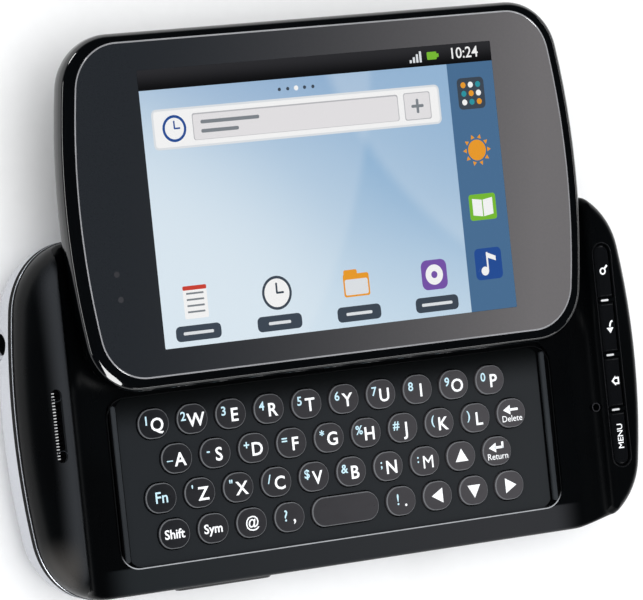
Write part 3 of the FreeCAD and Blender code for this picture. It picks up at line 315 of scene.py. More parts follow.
def jack_finish():
    """Black plastic, painted like the housing round it on its outer end."""
    finish = Finish("jack_plastic")
    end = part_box("headset_jack")[0].x
    painted = finish.ramp(finish.axes()["X"], end + 0.45 * MM, end + 0.3 * MM)
    return finish.set(Base_Color=finish.mix(painted, finish.cloudy(rgb(12, 12, 13)), rgb(178, 180, 186)),
                      Roughness=finish.wear(0.32, 0.45), Normal=finish.grain(5000.0, 0.1))


def brushed_steel(name, low, high, stretch, rough=0.28):
    finish = Finish(name)
    lines = finish.noise(900.0, 5.0, stretch)
    return finish.set(Base_Color=finish.mix(lines, low, high), Metallic=1.0,
                      Roughness=finish.between(lines, rough - 0.08, rough + 0.1),
                      Normal=finish.bump(lines, 0.12, LINE_DEPTH))


def board_finish():
    """Green solder mask with faint tracks; bare steel on the port's shell."""
    finish = Finish("circuit_board_mask")
    x, y, z = finish.axes()
    waves = [finish.math("SINE", finish.times(axis, pace)) for axis, pace in ((x, 2600.0), (y, 2100.0))]
    track = finish.ramp(finish.times(*waves), 0.55, 0.62)
    mask = finish.mix(finish.ramp(finish.noise(400.0), 0.4, 0.6), rgb(16, 74, 44), rgb(22, 88, 52))
    shell = finish.math("LESS_THAN", z, 5.28 * MM)
    shade = finish.mix(shell, finish.mix(track, mask, rgb(46, 122, 74)), rgb(176, 178, 182))
    return finish.set(Base_Color=shade, Metallic=shell, Roughness=0.32,
                      Normal=finish.bump(track, 0.3, LINE_DEPTH))


def ink_finish():
    """The border printed behind the window: charcoal, with a painted reflection that warms and lightens it
    towards +X.
    """
    finish = Finish("window_border_ink")
    x, y, _ = finish.axes()
    # painted reflection: lighter and warmer towards +X
    along = finish.ramp(finish.minus(x, finish.times(y, 0.14)), -46.6 * MM, 36.4 * MM, smooth=False)
    speck = finish.noise(2500.0, 3.0)
    dark = finish.mix(speck, rgb(32, 35, 39), rgb(36, 39, 43))
    light = finish.mix(speck, rgb(100, 98, 99), rgb(106, 103, 104))
    return finish.set(Base_Color=finish.mix(finish.math("POWER", along, 1.9), dark, light),
                      Roughness=finish.wear(0.04, 0.09), Coat_Weight=0.3, Coat_Roughness=0.03)


def pane_finish():
    finish = Finish("window_clear_glass")
    return finish.set(Base_Color=(1.0, 1.0, 1.0, 1.0), Roughness=finish.wear(0.0, 0.012, 200.0, 3.0),
                      Transmission_Weight=1.0, IOR=1.45)


def legend_ink(name, colour):
    finish = Finish(name)
    speck = finish.noise(6000.0, 2.0)
    # the print also glows faintly: painted light
    return finish.set(Base_Color=finish.mix(speck, colour, lighter(colour, 1.06)),
                      Roughness=finish.between(speck, 0.35, 0.5),
                      Emission_Color=colour, Emission_Strength=0.2)


satin_black, key_grey, charcoal = housing_plastic(), keycap_finish(), panel_finish()
recess_edge_plastic, silver, jack_black = recess_edge_finish(), silver_paint(), jack_finish()
steel = brushed_steel("brushed_slide_steel", rgb(150, 152, 156), rgb(196, 198, 202), (1.0, 0.04, 1.0))
trim_metal = brushed_steel("seam_trim_metal", rgb(150, 154, 160), rgb(196, 200, 206), (0.2, 1.0, 1.0), 0.2)
ink, pane_glass = ink_finish(), pane_finish()
white_ink = legend_ink("white_legend_ink", rgb(238, 240, 242))
cyan_ink = legend_ink("pale_blue_legend_ink", rgb(184, 216, 228))

# ---- Finishes on the solids that show as they are ----
FINISHES = {
    "front_housing": satin_black, "rear_housing": silver, "battery_cover": silver, "battery": wrap_grey,
    "main_board": board_finish(), "key_board": dome_sheet, "keyboard_panel": charcoal,
    "earpiece_grille": groove_black, "headset_jack": jack_black, "camera_module": lens_black,
    "slide_carriage": steel, "slide_plate": steel, "power_button": button_black,
    "volume_rocker": button_black, "display_bezel": gloss_black, "front_window": ink,
    "display_module": inner_black,
}
for name in nodes:
    worn = nodes[name].data.materials
    worn.clear()
    worn.append(FINISHES.get(name, key_grey if name.startswith("key_") else wing_key_black))


# ---- Meshes ----
FINE_MERGE = 1e-8


def add_piece(name, mesh, material, body="base"):
    """Put a finished mesh, or several as one, on a body with one material."""
    if isinstance(mesh, list):
        mesh = join_meshes(mesh)
    made = new_object(name, mesh)
    mesh.name = name
    mesh.materials.clear()
    mesh.materials.append(material)
    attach(made, body)
    return made


def bevelled(piece, width, segments, angle=30):
    """Round the edges that are sharper than an angle."""
    bevel = piece.modifiers.new("edge", "BEVEL")
    bevel.width, bevel.segments, bevel.limit_method = width, segments, "ANGLE"
    bevel.angle_limit = math.radians(angle)


def unfolded(*meshes):
    """A bmesh that holds these meshes."""
    work = bmesh.new()
    for mesh in meshes:
        work.from_mesh(mesh)
    return work


def folded(work, mesh=None):
    """Write a bmesh back into a mesh, or into a new one, and free it."""
    mesh = mesh or bpy.data.meshes.new("piece")
    work.to_mesh(mesh)
    work.free()
    return mesh


def tidy_mesh(mesh, merge=1e-6, smooth=None):
    """Merge doubles, point the faces outwards and shade them smooth, with creases above an angle."""
    work = unfolded(mesh)
    bmesh.ops.remove_doubles(work, verts=work.verts, dist=merge)
    bmesh.ops.recalc_face_normals(work, faces=work.faces)
    for face in work.faces:
        face.smooth = smooth is not None
    if smooth is not None:
        for edge in work.edges:
            edge.smooth = len(edge.link_faces) == 2 and edge.calc_face_angle(0.0) < math.radians(smooth)
    return folded(work, mesh)


def join_meshes(meshes):
    joined = folded(unfolded(*meshes))
    for mesh in meshes:
        bpy.data.meshes.remove(mesh)
    return joined


def evaluated_mesh(made):
    bpy.context.view_layer.update()
    mesh = bpy.data.meshes.new_from_object(made.evaluated_get(bpy.context.evaluated_depsgraph_get()))
    bpy.data.objects.remove(made)
    return mesh


def slab(outline, low, high):
    """A closed flat plate from a counter-clockwise outline."""
    work = bmesh.new()
    bottom, top = ([work.verts.new((x, y, z)) for x, y in outline] for z in (low, high))
    work.faces.new(top)
    work.faces.new(bottom[::-1])
    for i in range(len(outline)):
        j = (i + 1) % len(outline)
        work.faces.new((bottom[i], bottom[j], top[j], top[i]))
    return folded(work)


def curve_plate(outlines, low, high):
    """A plate with holes from closed outlines that lie flat."""
    data = bpy.data.curves.new("plate", "CURVE")
    data.dimensions = "2D"
    data.fill_mode = "BOTH"
    for outline in outlines:
        spline = data.splines.new("POLY")
        spline.points.add(len(outline) - 1)
        for point, (x, y) in zip(spline.points, outline):
            point.co = (x, y, 0.0, 1.0)
        spline.use_cyclic_u = True
    data.extrude = (high - low) / 2
    mesh = evaluated_mesh(new_object("plate", data))
    mesh.transform(Matrix.Translation((0.0, 0.0, (high + low) / 2)))
    return tidy_mesh(mesh, smooth=35)


def arc(x, y, radius, start, end, steps):
    return [(x + radius * math.cos(start + (end - start) * i / steps),
             y + radius * math.sin(start + (end - start) * i / steps)) for i in range(steps + 1)]


def disc(x, y, radius, steps=20):
    return arc(x, y, radius, 0.0, FULL_TURN, steps)[:-1]


def turned(outline, x=0.0, y=0.0, turn=0.0, scale=1.0):
    """An outline scaled, turned about its own zero and moved to a point."""
    cos, sin = math.cos(turn), math.sin(turn)
    return [(x + scale * (a * cos - b * sin), y + scale * (a * sin + b * cos)) for a, b in outline]


def round_box(x, y, length, width, corner, steps=8):
    half, half_width = length / 2 - corner, width / 2 - corner
    points = []
    for turn, sx, sy in ((0, 1, 1), (1, -1, 1), (2, -1, -1), (3, 1, -1)):
        points += arc(x + sx * half, y + sy * half_width, corner, turn * QUARTER, (turn + 1) * QUARTER, steps)
    return points


def bowed_box(x, y, length, width, corner, bow, steps=12):
    """The outline of the halves and the window: a rounded rectangle whose ends are bowed."""
    rise = width / 2 - corner
    centre = length / 2 - bow
    reach = centre + math.sqrt((bow - corner) ** 2 - rise ** 2)
    turn = math.asin(rise / (bow - corner))
    end = arc(reach, -rise, corner, -QUARTER, -turn, steps)
    end += arc(centre, 0.0, bow, -turn, turn, steps)[1:-1]
    end += arc(reach, rise, corner, turn, QUARTER, steps)
    return [(x + flip * px, y + flip * py) for flip in (1, -1) for px, py in end]


def stroke(points, width):
    """The outline of a line of even width through the points."""
    left, right = [], []
    for i, (x, y) in enumerate(points):
        x0, y0 = points[max(i - 1, 0)]
        x1, y1 = points[min(i + 1, len(points) - 1)]
        reach = math.hypot(x1 - x0, y1 - y0)
        nx, ny = -(y1 - y0) / reach * width / 2, (x1 - x0) / reach * width / 2
        left.append((x + nx, y + ny))
        right.append((x - nx, y - ny))
    return right + left[::-1]


def ring_mesh(centre, normal, radius, tube, steps, start=0.0, sweep=FULL_TURN, sides=8):
    """A round wire bent in a circle, or in part of one with closed ends."""
    turn = Vector(normal).to_track_quat("Z", "Y").to_matrix()
    work = bmesh.new()
    whole = sweep == FULL_TURN
    rings = []
    for i in range(steps if whole else steps + 1):
        angle = start + sweep * i / steps
        spoke = Vector((math.cos(angle), math.sin(angle), 0.0))
        ring = []
        for j in range(sides):
            lean = FULL_TURN * j / sides
            point = spoke * (radius + tube * math.cos(lean)) + Vector((0.0, 0.0, tube * math.sin(lean)))
            ring.append(work.verts.new(Vector(centre) + turn @ point))
        rings.append(ring)
    for i in range(steps):
        first, second = rings[i], rings[(i + 1) % len(rings)]
        for j in range(sides):
            work.faces.new((first[j], second[j], second[(j + 1) % sides], first[(j + 1) % sides]))
    if not whole:
        work.faces.new(rings[0])
        work.faces.new(rings[-1][::-1])
    return tidy_mesh(folded(work), FINE_MERGE, smooth=70)


LETTER_SIZE = 1.37  # of the font, for capitals one unit high
LETTER_DEPTH = 0.004 * MM


def text_mesh(words, height, x, y, z, turn=0.0, thick=0.0):
    """Flat letters as a closed mesh, centred on a point; height is that of a capital."""
    data = bpy.data.curves.new("words", "FONT")
    data.body = words
    data.size = height * LETTER_SIZE
    data.align_x, data.align_y = "CENTER", "CENTER"
    data.offset = thick
    data.extrude = LETTER_DEPTH / 2
    data.resolution_u = 3
    mesh = evaluated_mesh(new_object("words", data))
    mesh.transform(Matrix.Translation((x, y, z)) @ Matrix.Rotation(turn, 4, "Z"))
    work = unfolded(mesh)
    bmesh.ops.remove_doubles(work, verts=work.verts, dist=FINE_MERGE)
    return folded(work, mesh)


def middle_of(node):
    low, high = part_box(node)
    return (low + high) / 2


housing = nodes["front_housing"].data
housing_surface = BVHTree.FromPolygons([vertex.co.copy() for vertex in housing.vertices],
                                       [tuple(face.vertices) for face in housing.polygons])


def on_housing(x, y):
    """The point of the front housing's top under x, y."""
    return housing_surface.ray_cast(Vector((x, y, 0.05)), Vector((0.0, 0.0, -1.0)))[0]


# ---- Geometry Nodes: what repeats, and what follows a rule ----
class Rule(Tree):
    """A Geometry Nodes tree with named sizes, which is run to give a plain mesh."""
    family = "GeometryNode"

    def __init__(self, name, takes_geometry=False):
        super().__init__(bpy.data.node_groups.new(name, "GeometryNodeTree"))
        self.sockets = {}
        for way in ("INPUT", "OUTPUT") if takes_geometry else ("OUTPUT",):
            self.tree.interface.new_socket("Geometry", in_out=way, socket_type="NodeSocketGeometry")
        self.source = self.tree.nodes.new("NodeGroupInput")
        self.sink = self.tree.nodes.new("NodeGroupOutput")

    def size(self, name, value=None, kind="Float"):
        made = self.tree.interface.new_socket(name, in_out="INPUT", socket_type=f"NodeSocket{kind}")
        if value is not None:
            made.default_value = value
        self.sockets[name] = made.identifier
        return self.source.outputs[name]

    def sizes(self, *names):
        return [self.size(name) for name in names]

    def vector(self, x=0.0, y=0.0, z=0.0):
        return self.out("ShaderNodeCombineXYZ", X=x, Y=y, Z=z)

    def here(self):
        return self.node("ShaderNodeSeparateXYZ", Vector=self.out("InputPosition")).outputs

    def join(self, *parts):
        made = self.node("JoinGeometry")
        for part in parts:
            self.tree.links.new(part, made.inputs[0])
        return made.outputs[0]

    def moved(self, geometry, place):
        return self.out("Transform", Geometry=geometry, Translation=place)

    def closed(self, shell, sheet):
        """Close an open shell with the sheet that it grew from."""
        whole = self.join(shell, self.out("FlipFaces", Mesh=sheet))
        return self.out("MergeByDistance", Geometry=whole, Distance=1e-7)

    def rounded(self, length, width, corner, steps):
        """The outline of a rounded rectangle."""
        box = self.out("CurvePrimitiveQuadrilateral", Width=length, Height=width)
        return self.out("FilletCurve", {"mode": "POLY"}, Curve=box, Radius=corner, Count=steps)

    def end(self, geometry):
        material = self.size("Material", kind="Material")
        realized = self.out("RealizeInstances", Geometry=geometry)
        painted = self.out("SetMaterial", Geometry=realized, Material=material)
        self.tree.links.new(painted, self.sink.inputs[0])
        return self

    def grow(self, start=None, **sizes):
        """Run the rule with these sizes, on a starting mesh where it takes one."""
        made = new_object("grown", start or bpy.data.meshes.new("grown"))
        modifier = made.modifiers.new("rule", "NODES")
        modifier.node_group = self.tree
        for key, value in sizes.items():
            modifier[self.sockets[key.replace("_", " ")]] = value
        return evaluated_mesh(made)


ROWS = (
    tuple("qwertyuiop"),
    (*"asdfghjkl", "delete"),
    ("fn", *"zxcvbnm", "up", "return"),
    ("shift", "symbol", "at", "comma", "space", "period", "left", "down", "right"),
)
KEYS = [key for row in ROWS for key in row]
KEY_LENGTH, KEY_WIDTH, SPACE_LENGTH = 5.7 * MM, 4.9 * MM, 12.9 * MM
KEY_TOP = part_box("key_q")[1].z
KEY_CORNER, KEY_SHOULDER, KEY_DOME = KEY_WIDTH * 0.485, 0.28 * MM, 0.05 * MM
# how far each ring of a cap has come in and up its rounded shoulder, and then in over its flat top
SHOULDER_TURNS = (0.5, 1.05, QUARTER)
TOP_REACHES = (0.04, 0.3, 0.7)


def pill_rule():
    """A moulded pill: straight wall, rounded shoulder, then a nearly flat top. Used for every keycap."""
    rule = Rule("moulded_pill")
    x, y, length, width, corner = rule.sizes("Centre X", "Centre Y", "Length", "Width", "Corner")
    low, shoulder_z, shoulder, dome = rule.sizes("Low", "Shoulder Z", "Shoulder", "Dome")
    sheet = rule.out("FillCurve", {"mode": "NGONS"}, Curve=rule.rounded(length, width, corner, 11))
    halves = [rule.times(part, 0.5) for part in (length, width)]
    wall = rule.minus(shoulder_z, low)
    rings = [(0.0, 0.0, 0.0)]
    rings += [(1 - math.cos(turn), math.sin(turn), 0.0) for turn in SHOULDER_TURNS]
    rings += [(1.0, 1.0, reach) for reach in TOP_REACHES]
    geometry, before, top = sheet, halves, True
    for inward, upward, reach in rings:
        extrude = rule.node("ExtrudeMesh", Mesh=geometry, Selection=top, Offset_Scale=0.0, Individual=False)
        step = rule.times(shoulder, inward)
        across = [rule.times(rule.minus(half, step), 1.0 - reach) for half in halves]
        rise = rule.plus(rule.times(shoulder, upward), rule.times(dome, 1.0 - (1.0 - reach) ** 2))
        at = rule.here()
        shrunk = [rule.times(at[i], rule.math("DIVIDE", across[i], before[i])) for i in (0, 1)]
        before, top = across, extrude.outputs["Top"]
        geometry = rule.out("SetPosition", Geometry=extrude.outputs["Mesh"], Selection=top,
                            Position=rule.vector(*shrunk, rule.plus(wall, rise)))
    return rule.end(rule.moved(rule.closed(geometry, sheet), rule.vector(x, y, low)))


def make_keycaps():
    pill = pill_rule()
    for key in KEYS:
        node = f"key_{key}"
        centre = middle_of(node)
        mesh = pill.grow(Centre_X=centre.x, Centre_Y=centre.y, Width=KEY_WIDTH, Corner=KEY_CORNER,
                         Length=SPACE_LENGTH if key == "space" else KEY_LENGTH, Low=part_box(node)[0].z,
                         Shoulder_Z=KEY_TOP - KEY_SHOULDER - KEY_DOME - 0.01 * MM, Shoulder=KEY_SHOULDER,
                         Dome=KEY_DOME, Material=key_grey)
        cap = add_piece(f"keycap_{key}", tidy_mesh(mesh, smooth=50), key_grey, node)
        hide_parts(node)


# the runs of keys of one size: row, first key and count; the space bar stands between the last two
RUNS = ((0, 0, 10), (1, 0, 10), (2, 0, 10), (3, 0, 4), (3, 6, 4))
SPACE_ROW, SPACE_PLACE = 3, 4.5


def panel_rule():
    """The keyboard panel: an outline with a pill-shaped hole for each key of each row."""
    rule = Rule("pierced_panel")
    top, thickness, x, y = rule.sizes("Top", "Thickness", "Centre X", "Centre Y")
    length, width, corner, pitch = rule.sizes("Length", "Width", "Corner", "Pitch")
    hole, wide_hole, hole_width = rule.sizes("Hole Length", "Wide Hole", "Hole Width")
    starts = [rule.sizes(f"Row {row + 1} X", f"Row {row + 1} Y") for row in range(len(ROWS))]
    end = rule.times(hole_width, 0.49)

    def key_place(row, place):
        return rule.vector(rule.plus(starts[row][0], rule.times(pitch, float(place))), starts[row][1])

    parts = [rule.moved(rule.rounded(length, width, corner, 10), rule.vector(x, y))]
    for row, first, count in RUNS:
        line = rule.out("MeshLine", Count=count, Start_Location=key_place(row, first),
                        Offset=rule.vector(pitch))
        spots = rule.out("InstanceOnPoints", Points=line, Instance=rule.rounded(hole, hole_width, end, 10))
        parts.append(rule.out("RealizeInstances", Geometry=spots))
    parts.append(rule.moved(rule.rounded(wide_hole, hole_width, end, 10), key_place(SPACE_ROW, SPACE_PLACE)))
    sheet = rule.out("FillCurve", Curve=rule.join(*parts))
    shell = rule.out("ExtrudeMesh", Mesh=sheet, Offset=rule.vector(0.0, 0.0, 1.0), Offset_Scale=thickness,
                     Individual=False)
    return rule.end(rule.moved(rule.closed(shell, sheet), rule.vector(0.0, 0.0, rule.minus(top, thickness))))


def make_panel():
    starts = {}
    for i, row in enumerate(ROWS):
        starts[f"Row_{i + 1}_X"], starts[f"Row_{i + 1}_Y"], _ = middle_of(f"key_{row[0]}")
    gap = 0.36 * MM
    mesh = panel_rule().grow(
        Top=PANEL_HIGH.z, Thickness=PANEL_HIGH.z - PANEL_LOW.z, Centre_X=PANEL_CENTRE.x,
        Centre_Y=PANEL_CENTRE.y, Length=PANEL_LENGTH, Width=PANEL_WIDTH, Corner=2.5 * MM,
        Pitch=middle_of("key_w").x - middle_of("key_q").x, Hole_Length=KEY_LENGTH + gap,
        Hole_Width=KEY_WIDTH + gap, Wide_Hole=SPACE_LENGTH + gap, Material=charcoal, **starts)
    panel = add_piece("key_panel", tidy_mesh(mesh, smooth=30), charcoal)
    bevelled(panel, 0.1 * MM, 2, 50)
    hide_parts("keyboard_panel")


def bead_rule():
    """A bead swept round a closed path; beyond its flat middle the path climbs in an arc towards each end."""
    rule = Rule("bead_on_path", takes_geometry=True)
    width, height = rule.sizes("Width", "Height")
    steps = rule.size("Corner Steps", 3, kind="Int")
    flat, radius = rule.size("Flat Half", 1.0), rule.size("Climb Radius", 1.0)
    past = rule.math("MAXIMUM", rule.minus(rule.math("ABSOLUTE", rule.here()[0]), flat), 0.0)
    fall = rule.math("SQRT", rule.minus(rule.times(radius, radius), rule.times(past, past)))
    climb = rule.minus(radius, fall)
    moved = rule.out("SetPosition", Geometry=rule.source.outputs["Geometry"],
                     Offset=rule.vector(0.0, 0.0, climb))
    path = rule.out("SetCurveNormal", {"mode": "Z_UP"}, Curve=rule.out("MeshToCurve", Mesh=moved))
    profile = rule.rounded(width, height, rule.times(rule.math("MINIMUM", width, height), 0.45), steps)
    return rule.end(rule.out("CurveToMesh", Curve=path, Profile_Curve=profile))


bead = bead_rule()


def add_bead(name, outline, level, width, height, material, body="base", smooth=70, **sizes):
    """Lay a bead round a closed flat outline."""
    loop = bpy.data.meshes.new("loop")
    count = len(outline)
    loop.from_pydata([(x, y, level) for x, y in outline], [(i, (i + 1) % count) for i in range(count)], [])
    mesh = bead.grow(loop, Width=width, Height=height, Material=material, **sizes)
    add_piece(name, tidy_mesh(mesh, FINE_MERGE, smooth=smooth), material, body)


def wire_rule():
    """Short wires side by side across a slot, each with a round bulb at its start."""
    rule = Rule("grille_wires")
    x, y, z, pitch, reach, radius = rule.sizes("Start X", "Start Y", "Level", "Pitch", "Reach", "Wire Radius")
    count = rule.size("Count", 8, kind="Int")
    line = rule.out("MeshLine", Count=count, Start_Location=rule.vector(x, y, z),
                    Offset=rule.vector(0.0, pitch, 0.0))
    run = rule.out("CurvePrimitiveLine", End=rule.vector(reach))
    ring = rule.out("CurvePrimitiveCircle", Resolution=8, Radius=radius)
    wire = rule.out("CurveToMesh", Curve=run, Profile_Curve=ring, Fill_Caps=True)
    bulb = rule.out("MeshUVSphere", Segments=8, Rings=5, Radius=rule.times(radius, 1.25))
    return rule.end(rule.out("InstanceOnPoints", Points=line, Instance=rule.join(wire, bulb)))


# ---- Trim and small fittings on the base half ----
CREST = 14.6 * MM
PARTING_LEVEL, PARTING_FLAT, PARTING_CLIMB = 7.4 * MM, 42.0 * MM, 62.0 * MM
BASE_LENGTH, BASE_WIDTH, BASE_CORNER, BASE_BOW = 117.2 * MM, 58.2 * MM, 12.5 * MM, 120.0 * MM
BAY_LEVEL = PANEL_HIGH.z + 0.6 * MM


def make_seam():
    """The black gasket between the two housings, and a bright line round its upper half."""
    for name, inset, lift, width, height, material in (
            ("seam_gasket", 0.04 * MM, -0.35 * MM, 0.16 * MM, 1.9 * MM, groove_black),
            ("seam_trim", -0.03 * MM, 0.1 * MM, 0.18 * MM, 0.3 * MM, trim_metal)):
        outline = bowed_box(0.0, 0.0, BASE_LENGTH - inset * 2, BASE_WIDTH - inset * 2, BASE_CORNER - inset,
                            BASE_BOW - inset, 20)
        add_bead(name, outline, PARTING_LEVEL + lift, width, height, material, Flat_Half=PARTING_FLAT,
                 Climb_Radius=PARTING_CLIMB)


def make_earpiece():
    """The grille's wires, and a fine hook round each end of its slot."""
    low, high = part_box("earpiece_grille")
    inset, pitch, count = 0.72 * MM, 0.5 * MM, 22
    middle, top = (low + high) / 2, high.z + 0.2 * MM
    mesh = wire_rule().grow(
        Start_X=low.x + inset, Start_Y=middle.y - pitch * (count - 1) / 2, Level=top, Pitch=pitch,
        Reach=0.42 * MM, Wire_Radius=0.1 * MM, Count=count, Material=mesh_metal)
    add_piece("earpiece_wires", tidy_mesh(mesh, FINE_MERGE, smooth=60), mesh_metal)
    reach, sweep = 4.95 * MM, math.radians(140)
    hooks = [ring_mesh((middle.x, middle.y + side * reach, CREST - 0.03 * MM), (0, 0, 1), 0.98 * MM,
                       0.07 * MM, 24, math.radians(start), sweep) for side, start in ((-1, 200), (1, 20))]
    add_piece("earpiece_hooks", hooks, trim_metal)


def make_bay_trim():
    """The edge round the recess, pale along the front as a painted highlight, and at each end of the panel
    the bead with black strips beside it as painted shadow.
    """
    x, y, _ = PANEL_CENTRE
    edge = round_box(x, y - 0.02 * MM, PANEL_LENGTH + 3.4 * MM, PANEL_WIDTH + 0.22 * MM, 3.4 * MM, 10)
    add_bead("recess_edge", edge, BAY_LEVEL - 0.02 * MM, 0.2 * MM, 0.14 * MM, recess_edge_plastic)
    gutter_x, gutter_length, foot = 41.45 * MM, 25.6 * MM, PANEL_HIGH.z - 0.1 * MM
    for side, word in ((-1, "left"), (1, "right")):
        bar = slab(round_box(side * gutter_x, y, 0.95 * MM, gutter_length, 0.46 * MM), foot,
                   BAY_LEVEL + 0.16 * MM)
        bevelled(add_piece(f"{word}_gutter_bead", tidy_mesh(bar, smooth=50), bead_grey), 0.34 * MM, 4)
        # black strips beside each bead: painted shadow
        for suffix, shift, thick, top in (("inner", -0.66 * MM, 0.34 * MM, PANEL_HIGH.z),
                                          ("outer", 0.66 * MM, 0.3 * MM, BAY_LEVEL)):
            groove = round_box(side * (gutter_x + shift), y, thick, gutter_length + 0.6 * MM, 0.12 * MM, 3)
            add_piece(f"{word}_{suffix}_groove", tidy_mesh(slab(groove, foot, top + 0.02 * MM)), groove_black)


def make_wing_icons():
    """White marks on the four wing keys, a lens, a bent arrow, a house and a word, and the slot's trim."""
    search, back, home, menu = (middle_of(f"wing_key_{key}") for key in ("search", "back", "home", "menu"))
    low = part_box("wing_key_home")[1].z
    high = low + 0.006 * MM
    x, y = search.x - 0.25 * MM, search.y
    lens = curve_plate([disc(x, y, radius * MM, 28) for radius in (0.62, 0.36)], low, high)
    handle = slab(turned(stroke([(0.42, 0.42), (0.95, 0.95)], 0.34), x, y, scale=MM), low, high)
    add_piece("search_mark", [lens, handle], white_ink, "wing_key_search")
    bend = [(0.55 - 0.62 * math.cos(turn), 0.1 + 0.95 * math.sin(turn))
            for turn in (math.radians(angle) for angle in range(0, 91, 15))]
    tip = [(-0.07, -1.0), (0.62, -0.05), (-0.78, -0.05)]
    arrow = [slab(turned(outline, back.x + 0.15 * MM, back.y, scale=MM), low, high)
             for outline in (stroke(bend, 0.3), tip)]
    add_piece("back_mark", arrow, white_ink, "wing_key_back")
    walls = [(0.62, -0.62), (0.62, 0.1), (0.86, 0.1), (0.0, 0.95), (-0.86, 0.1), (-0.62, 0.1), (-0.62, -0.62)]
    room = [(0.32, -0.34), (0.32, 0.2), (0.0, 0.52), (-0.32, 0.2), (-0.32, -0.34)]
    house = curve_plate([turned(outline, home.x + 0.2 * MM, home.y + 0.2 * MM, QUARTER, MM)
                         for outline in (walls, room)], low, high)
    add_piece("home_mark", house, white_ink, "wing_key_home")
    word = text_mesh("MENU", 1.15 * MM, menu.x, menu.y + 0.4 * MM, high, QUARTER, 0.012 * MM)
    add_piece("menu_mark", word, white_ink, "wing_key_menu")
    slot_x, slot_length, slot_width = 52.9 * MM, 38.1 * MM, 3.3 * MM
    # pale strips on the key dividers: painted highlights
    rib_highlights = [slab(round_box(slot_x - 0.45 * MM, y * MM, 1.5 * MM, 0.34 * MM, 0.16 * MM, 4), CREST + 0.02 * MM,
                 CREST + 0.24 * MM) for y in (-9.4, 0.0, 9.4)]
    add_piece("wing_key_rib_highlights", tidy_mesh(join_meshes(rib_highlights), smooth=50), mesh_metal)
    slot = round_box(0.0, 0.0, slot_length + 0.5 * MM, slot_width + 0.5 * MM, slot_width / 2 + 0.24 * MM, 12)
    add_bead("wing_key_outline", turned(slot, slot_x, 0.0, QUARTER), CREST, 0.14 * MM, 0.12 * MM, rim_black)


def make_ports():
    """The tongue and contacts in the port, the ring of the microphone, and the camera's rings and lens."""
    x, z = 20.0 * MM, 4.0 * MM
    tongue = slab(round_box(x, -25.2 * MM, 5.4 * MM, 4.8 * MM, 0.25 * MM, 3), z + 0.1 * MM, z + 0.7 * MM)
    add_piece("port_tongue", tidy_mesh(tongue), inner_black)
    contacts = [slab(round_box(x + place * 0.85 * MM, -25.4 * MM, 0.4 * MM, 3.6 * MM, 0.08 * MM, 2),
                     z + 0.02 * MM, z + 0.12 * MM) for place in range(-2, 3)]
    add_piece("port_contacts", contacts, trim_metal)
    # the microphone's hole lies on a slope, so its ring is laid on the line between the hole's two edges
    mic_x, mic_y, mic_reach = 49.9 * MM, -8.7 * MM, 0.68 * MM
    near, far = (on_housing(mic_x + side * mic_reach, mic_y) for side in (-1, 1))
    along = (far - near).normalized()
    ring = ring_mesh((near + far) / 2, Vector((-along.z, 0.0, along.x)), 0.7 * MM, 0.08 * MM, 30)
    add_piece("microphone_ring", ring, sensor_grey)
    centre = middle_of("camera_module")
    centre.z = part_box("camera_module")[0].z
    rings = [ring_mesh(centre, (0, 0, -1), radius * MM, 0.14 * MM, 48) for radius in (4.35, 2.3)]
    add_piece("camera_rings", rings, trim_metal)
    work = bmesh.new()
    bmesh.ops.create_uvsphere(work, u_segments=32, v_segments=16, radius=1.0)
    for vertex in work.verts:
        vertex.co = centre + vertex.co * Vector((1.7, 1.7, 0.16)) * MM
    add_piece("camera_lens", tidy_mesh(folded(work), FINE_MERGE, smooth=80), lens_black)


# ---- The window over the display ----
SCREEN_Y, SCREEN_LENGTH, SCREEN_WIDTH = 32.7 * MM, 67.6 * MM, 45.1 * MM
SCREEN_EDGE = SCREEN_Y + SCREEN_WIDTH / 2


def make_window():
    """The ink border and the clear pane in it, a pale rim round them whose grey is partly a painted
    highlight, and two sensor windows.
    """
    low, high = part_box("front_window")
    x, y, _ = (low + high) / 2
    length, width = high.x - low.x, high.y - low.y
    corner, bow, inset, gap = 8.0 * MM, 134.0 * MM, 0.06 * MM, 0.02 * MM
    outer = bowed_box(x, y, length, width, corner - inset, bow - inset, 16)
    inner = round_box(0.0, SCREEN_Y, SCREEN_LENGTH, SCREEN_WIDTH, 0.15 * MM, 2)
    border = add_piece("window_border", curve_plate([outer, inner], low.z, high.z), ink, "display_half")
    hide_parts("front_window")
    bevelled(border, 0.02 * MM, 1)
    pane = round_box(0.0, SCREEN_Y, SCREEN_LENGTH - gap * 2, SCREEN_WIDTH - gap * 2, 0.15 * MM, 2)
    add_piece("window_pane", tidy_mesh(slab(pane, low.z, high.z)), pane_glass, "display_half")
    # the rim's pale grey is partly a painted highlight on the window's edge; the gloss lamps add real
    # highlights
    rim = bowed_box(x, y, length + 0.1 * MM, width + 0.1 * MM, corner, bow, 20)
    add_bead("window_rim", rim, high.z - 0.06 * MM, 0.34 * MM, 0.3 * MM, rim_pale_highlight, "display_half",
             smooth=30, Corner_Steps=1)
    dots = [slab(disc(x * MM, y * MM, 0.5 * MM, 24), high.z, high.z + 0.006 * MM)
            for x, y in ((-41.16, 23.0), (-40.89, 18.9))]
    add_piece("sensor_windows", dots, sensor_grey, "display_half")


# ---- The lit picture, a set of thin flat layers on the display panel ----
def lit_finish(finish, colour):
    """A surface that only glows."""
    return finish.set(Base_Color=(0.0, 0.0, 0.0, 1.0), Roughness=0.9, Emission_Color=colour,
                      Emission_Strength=1.0, Specular_IOR_Level=0.0)


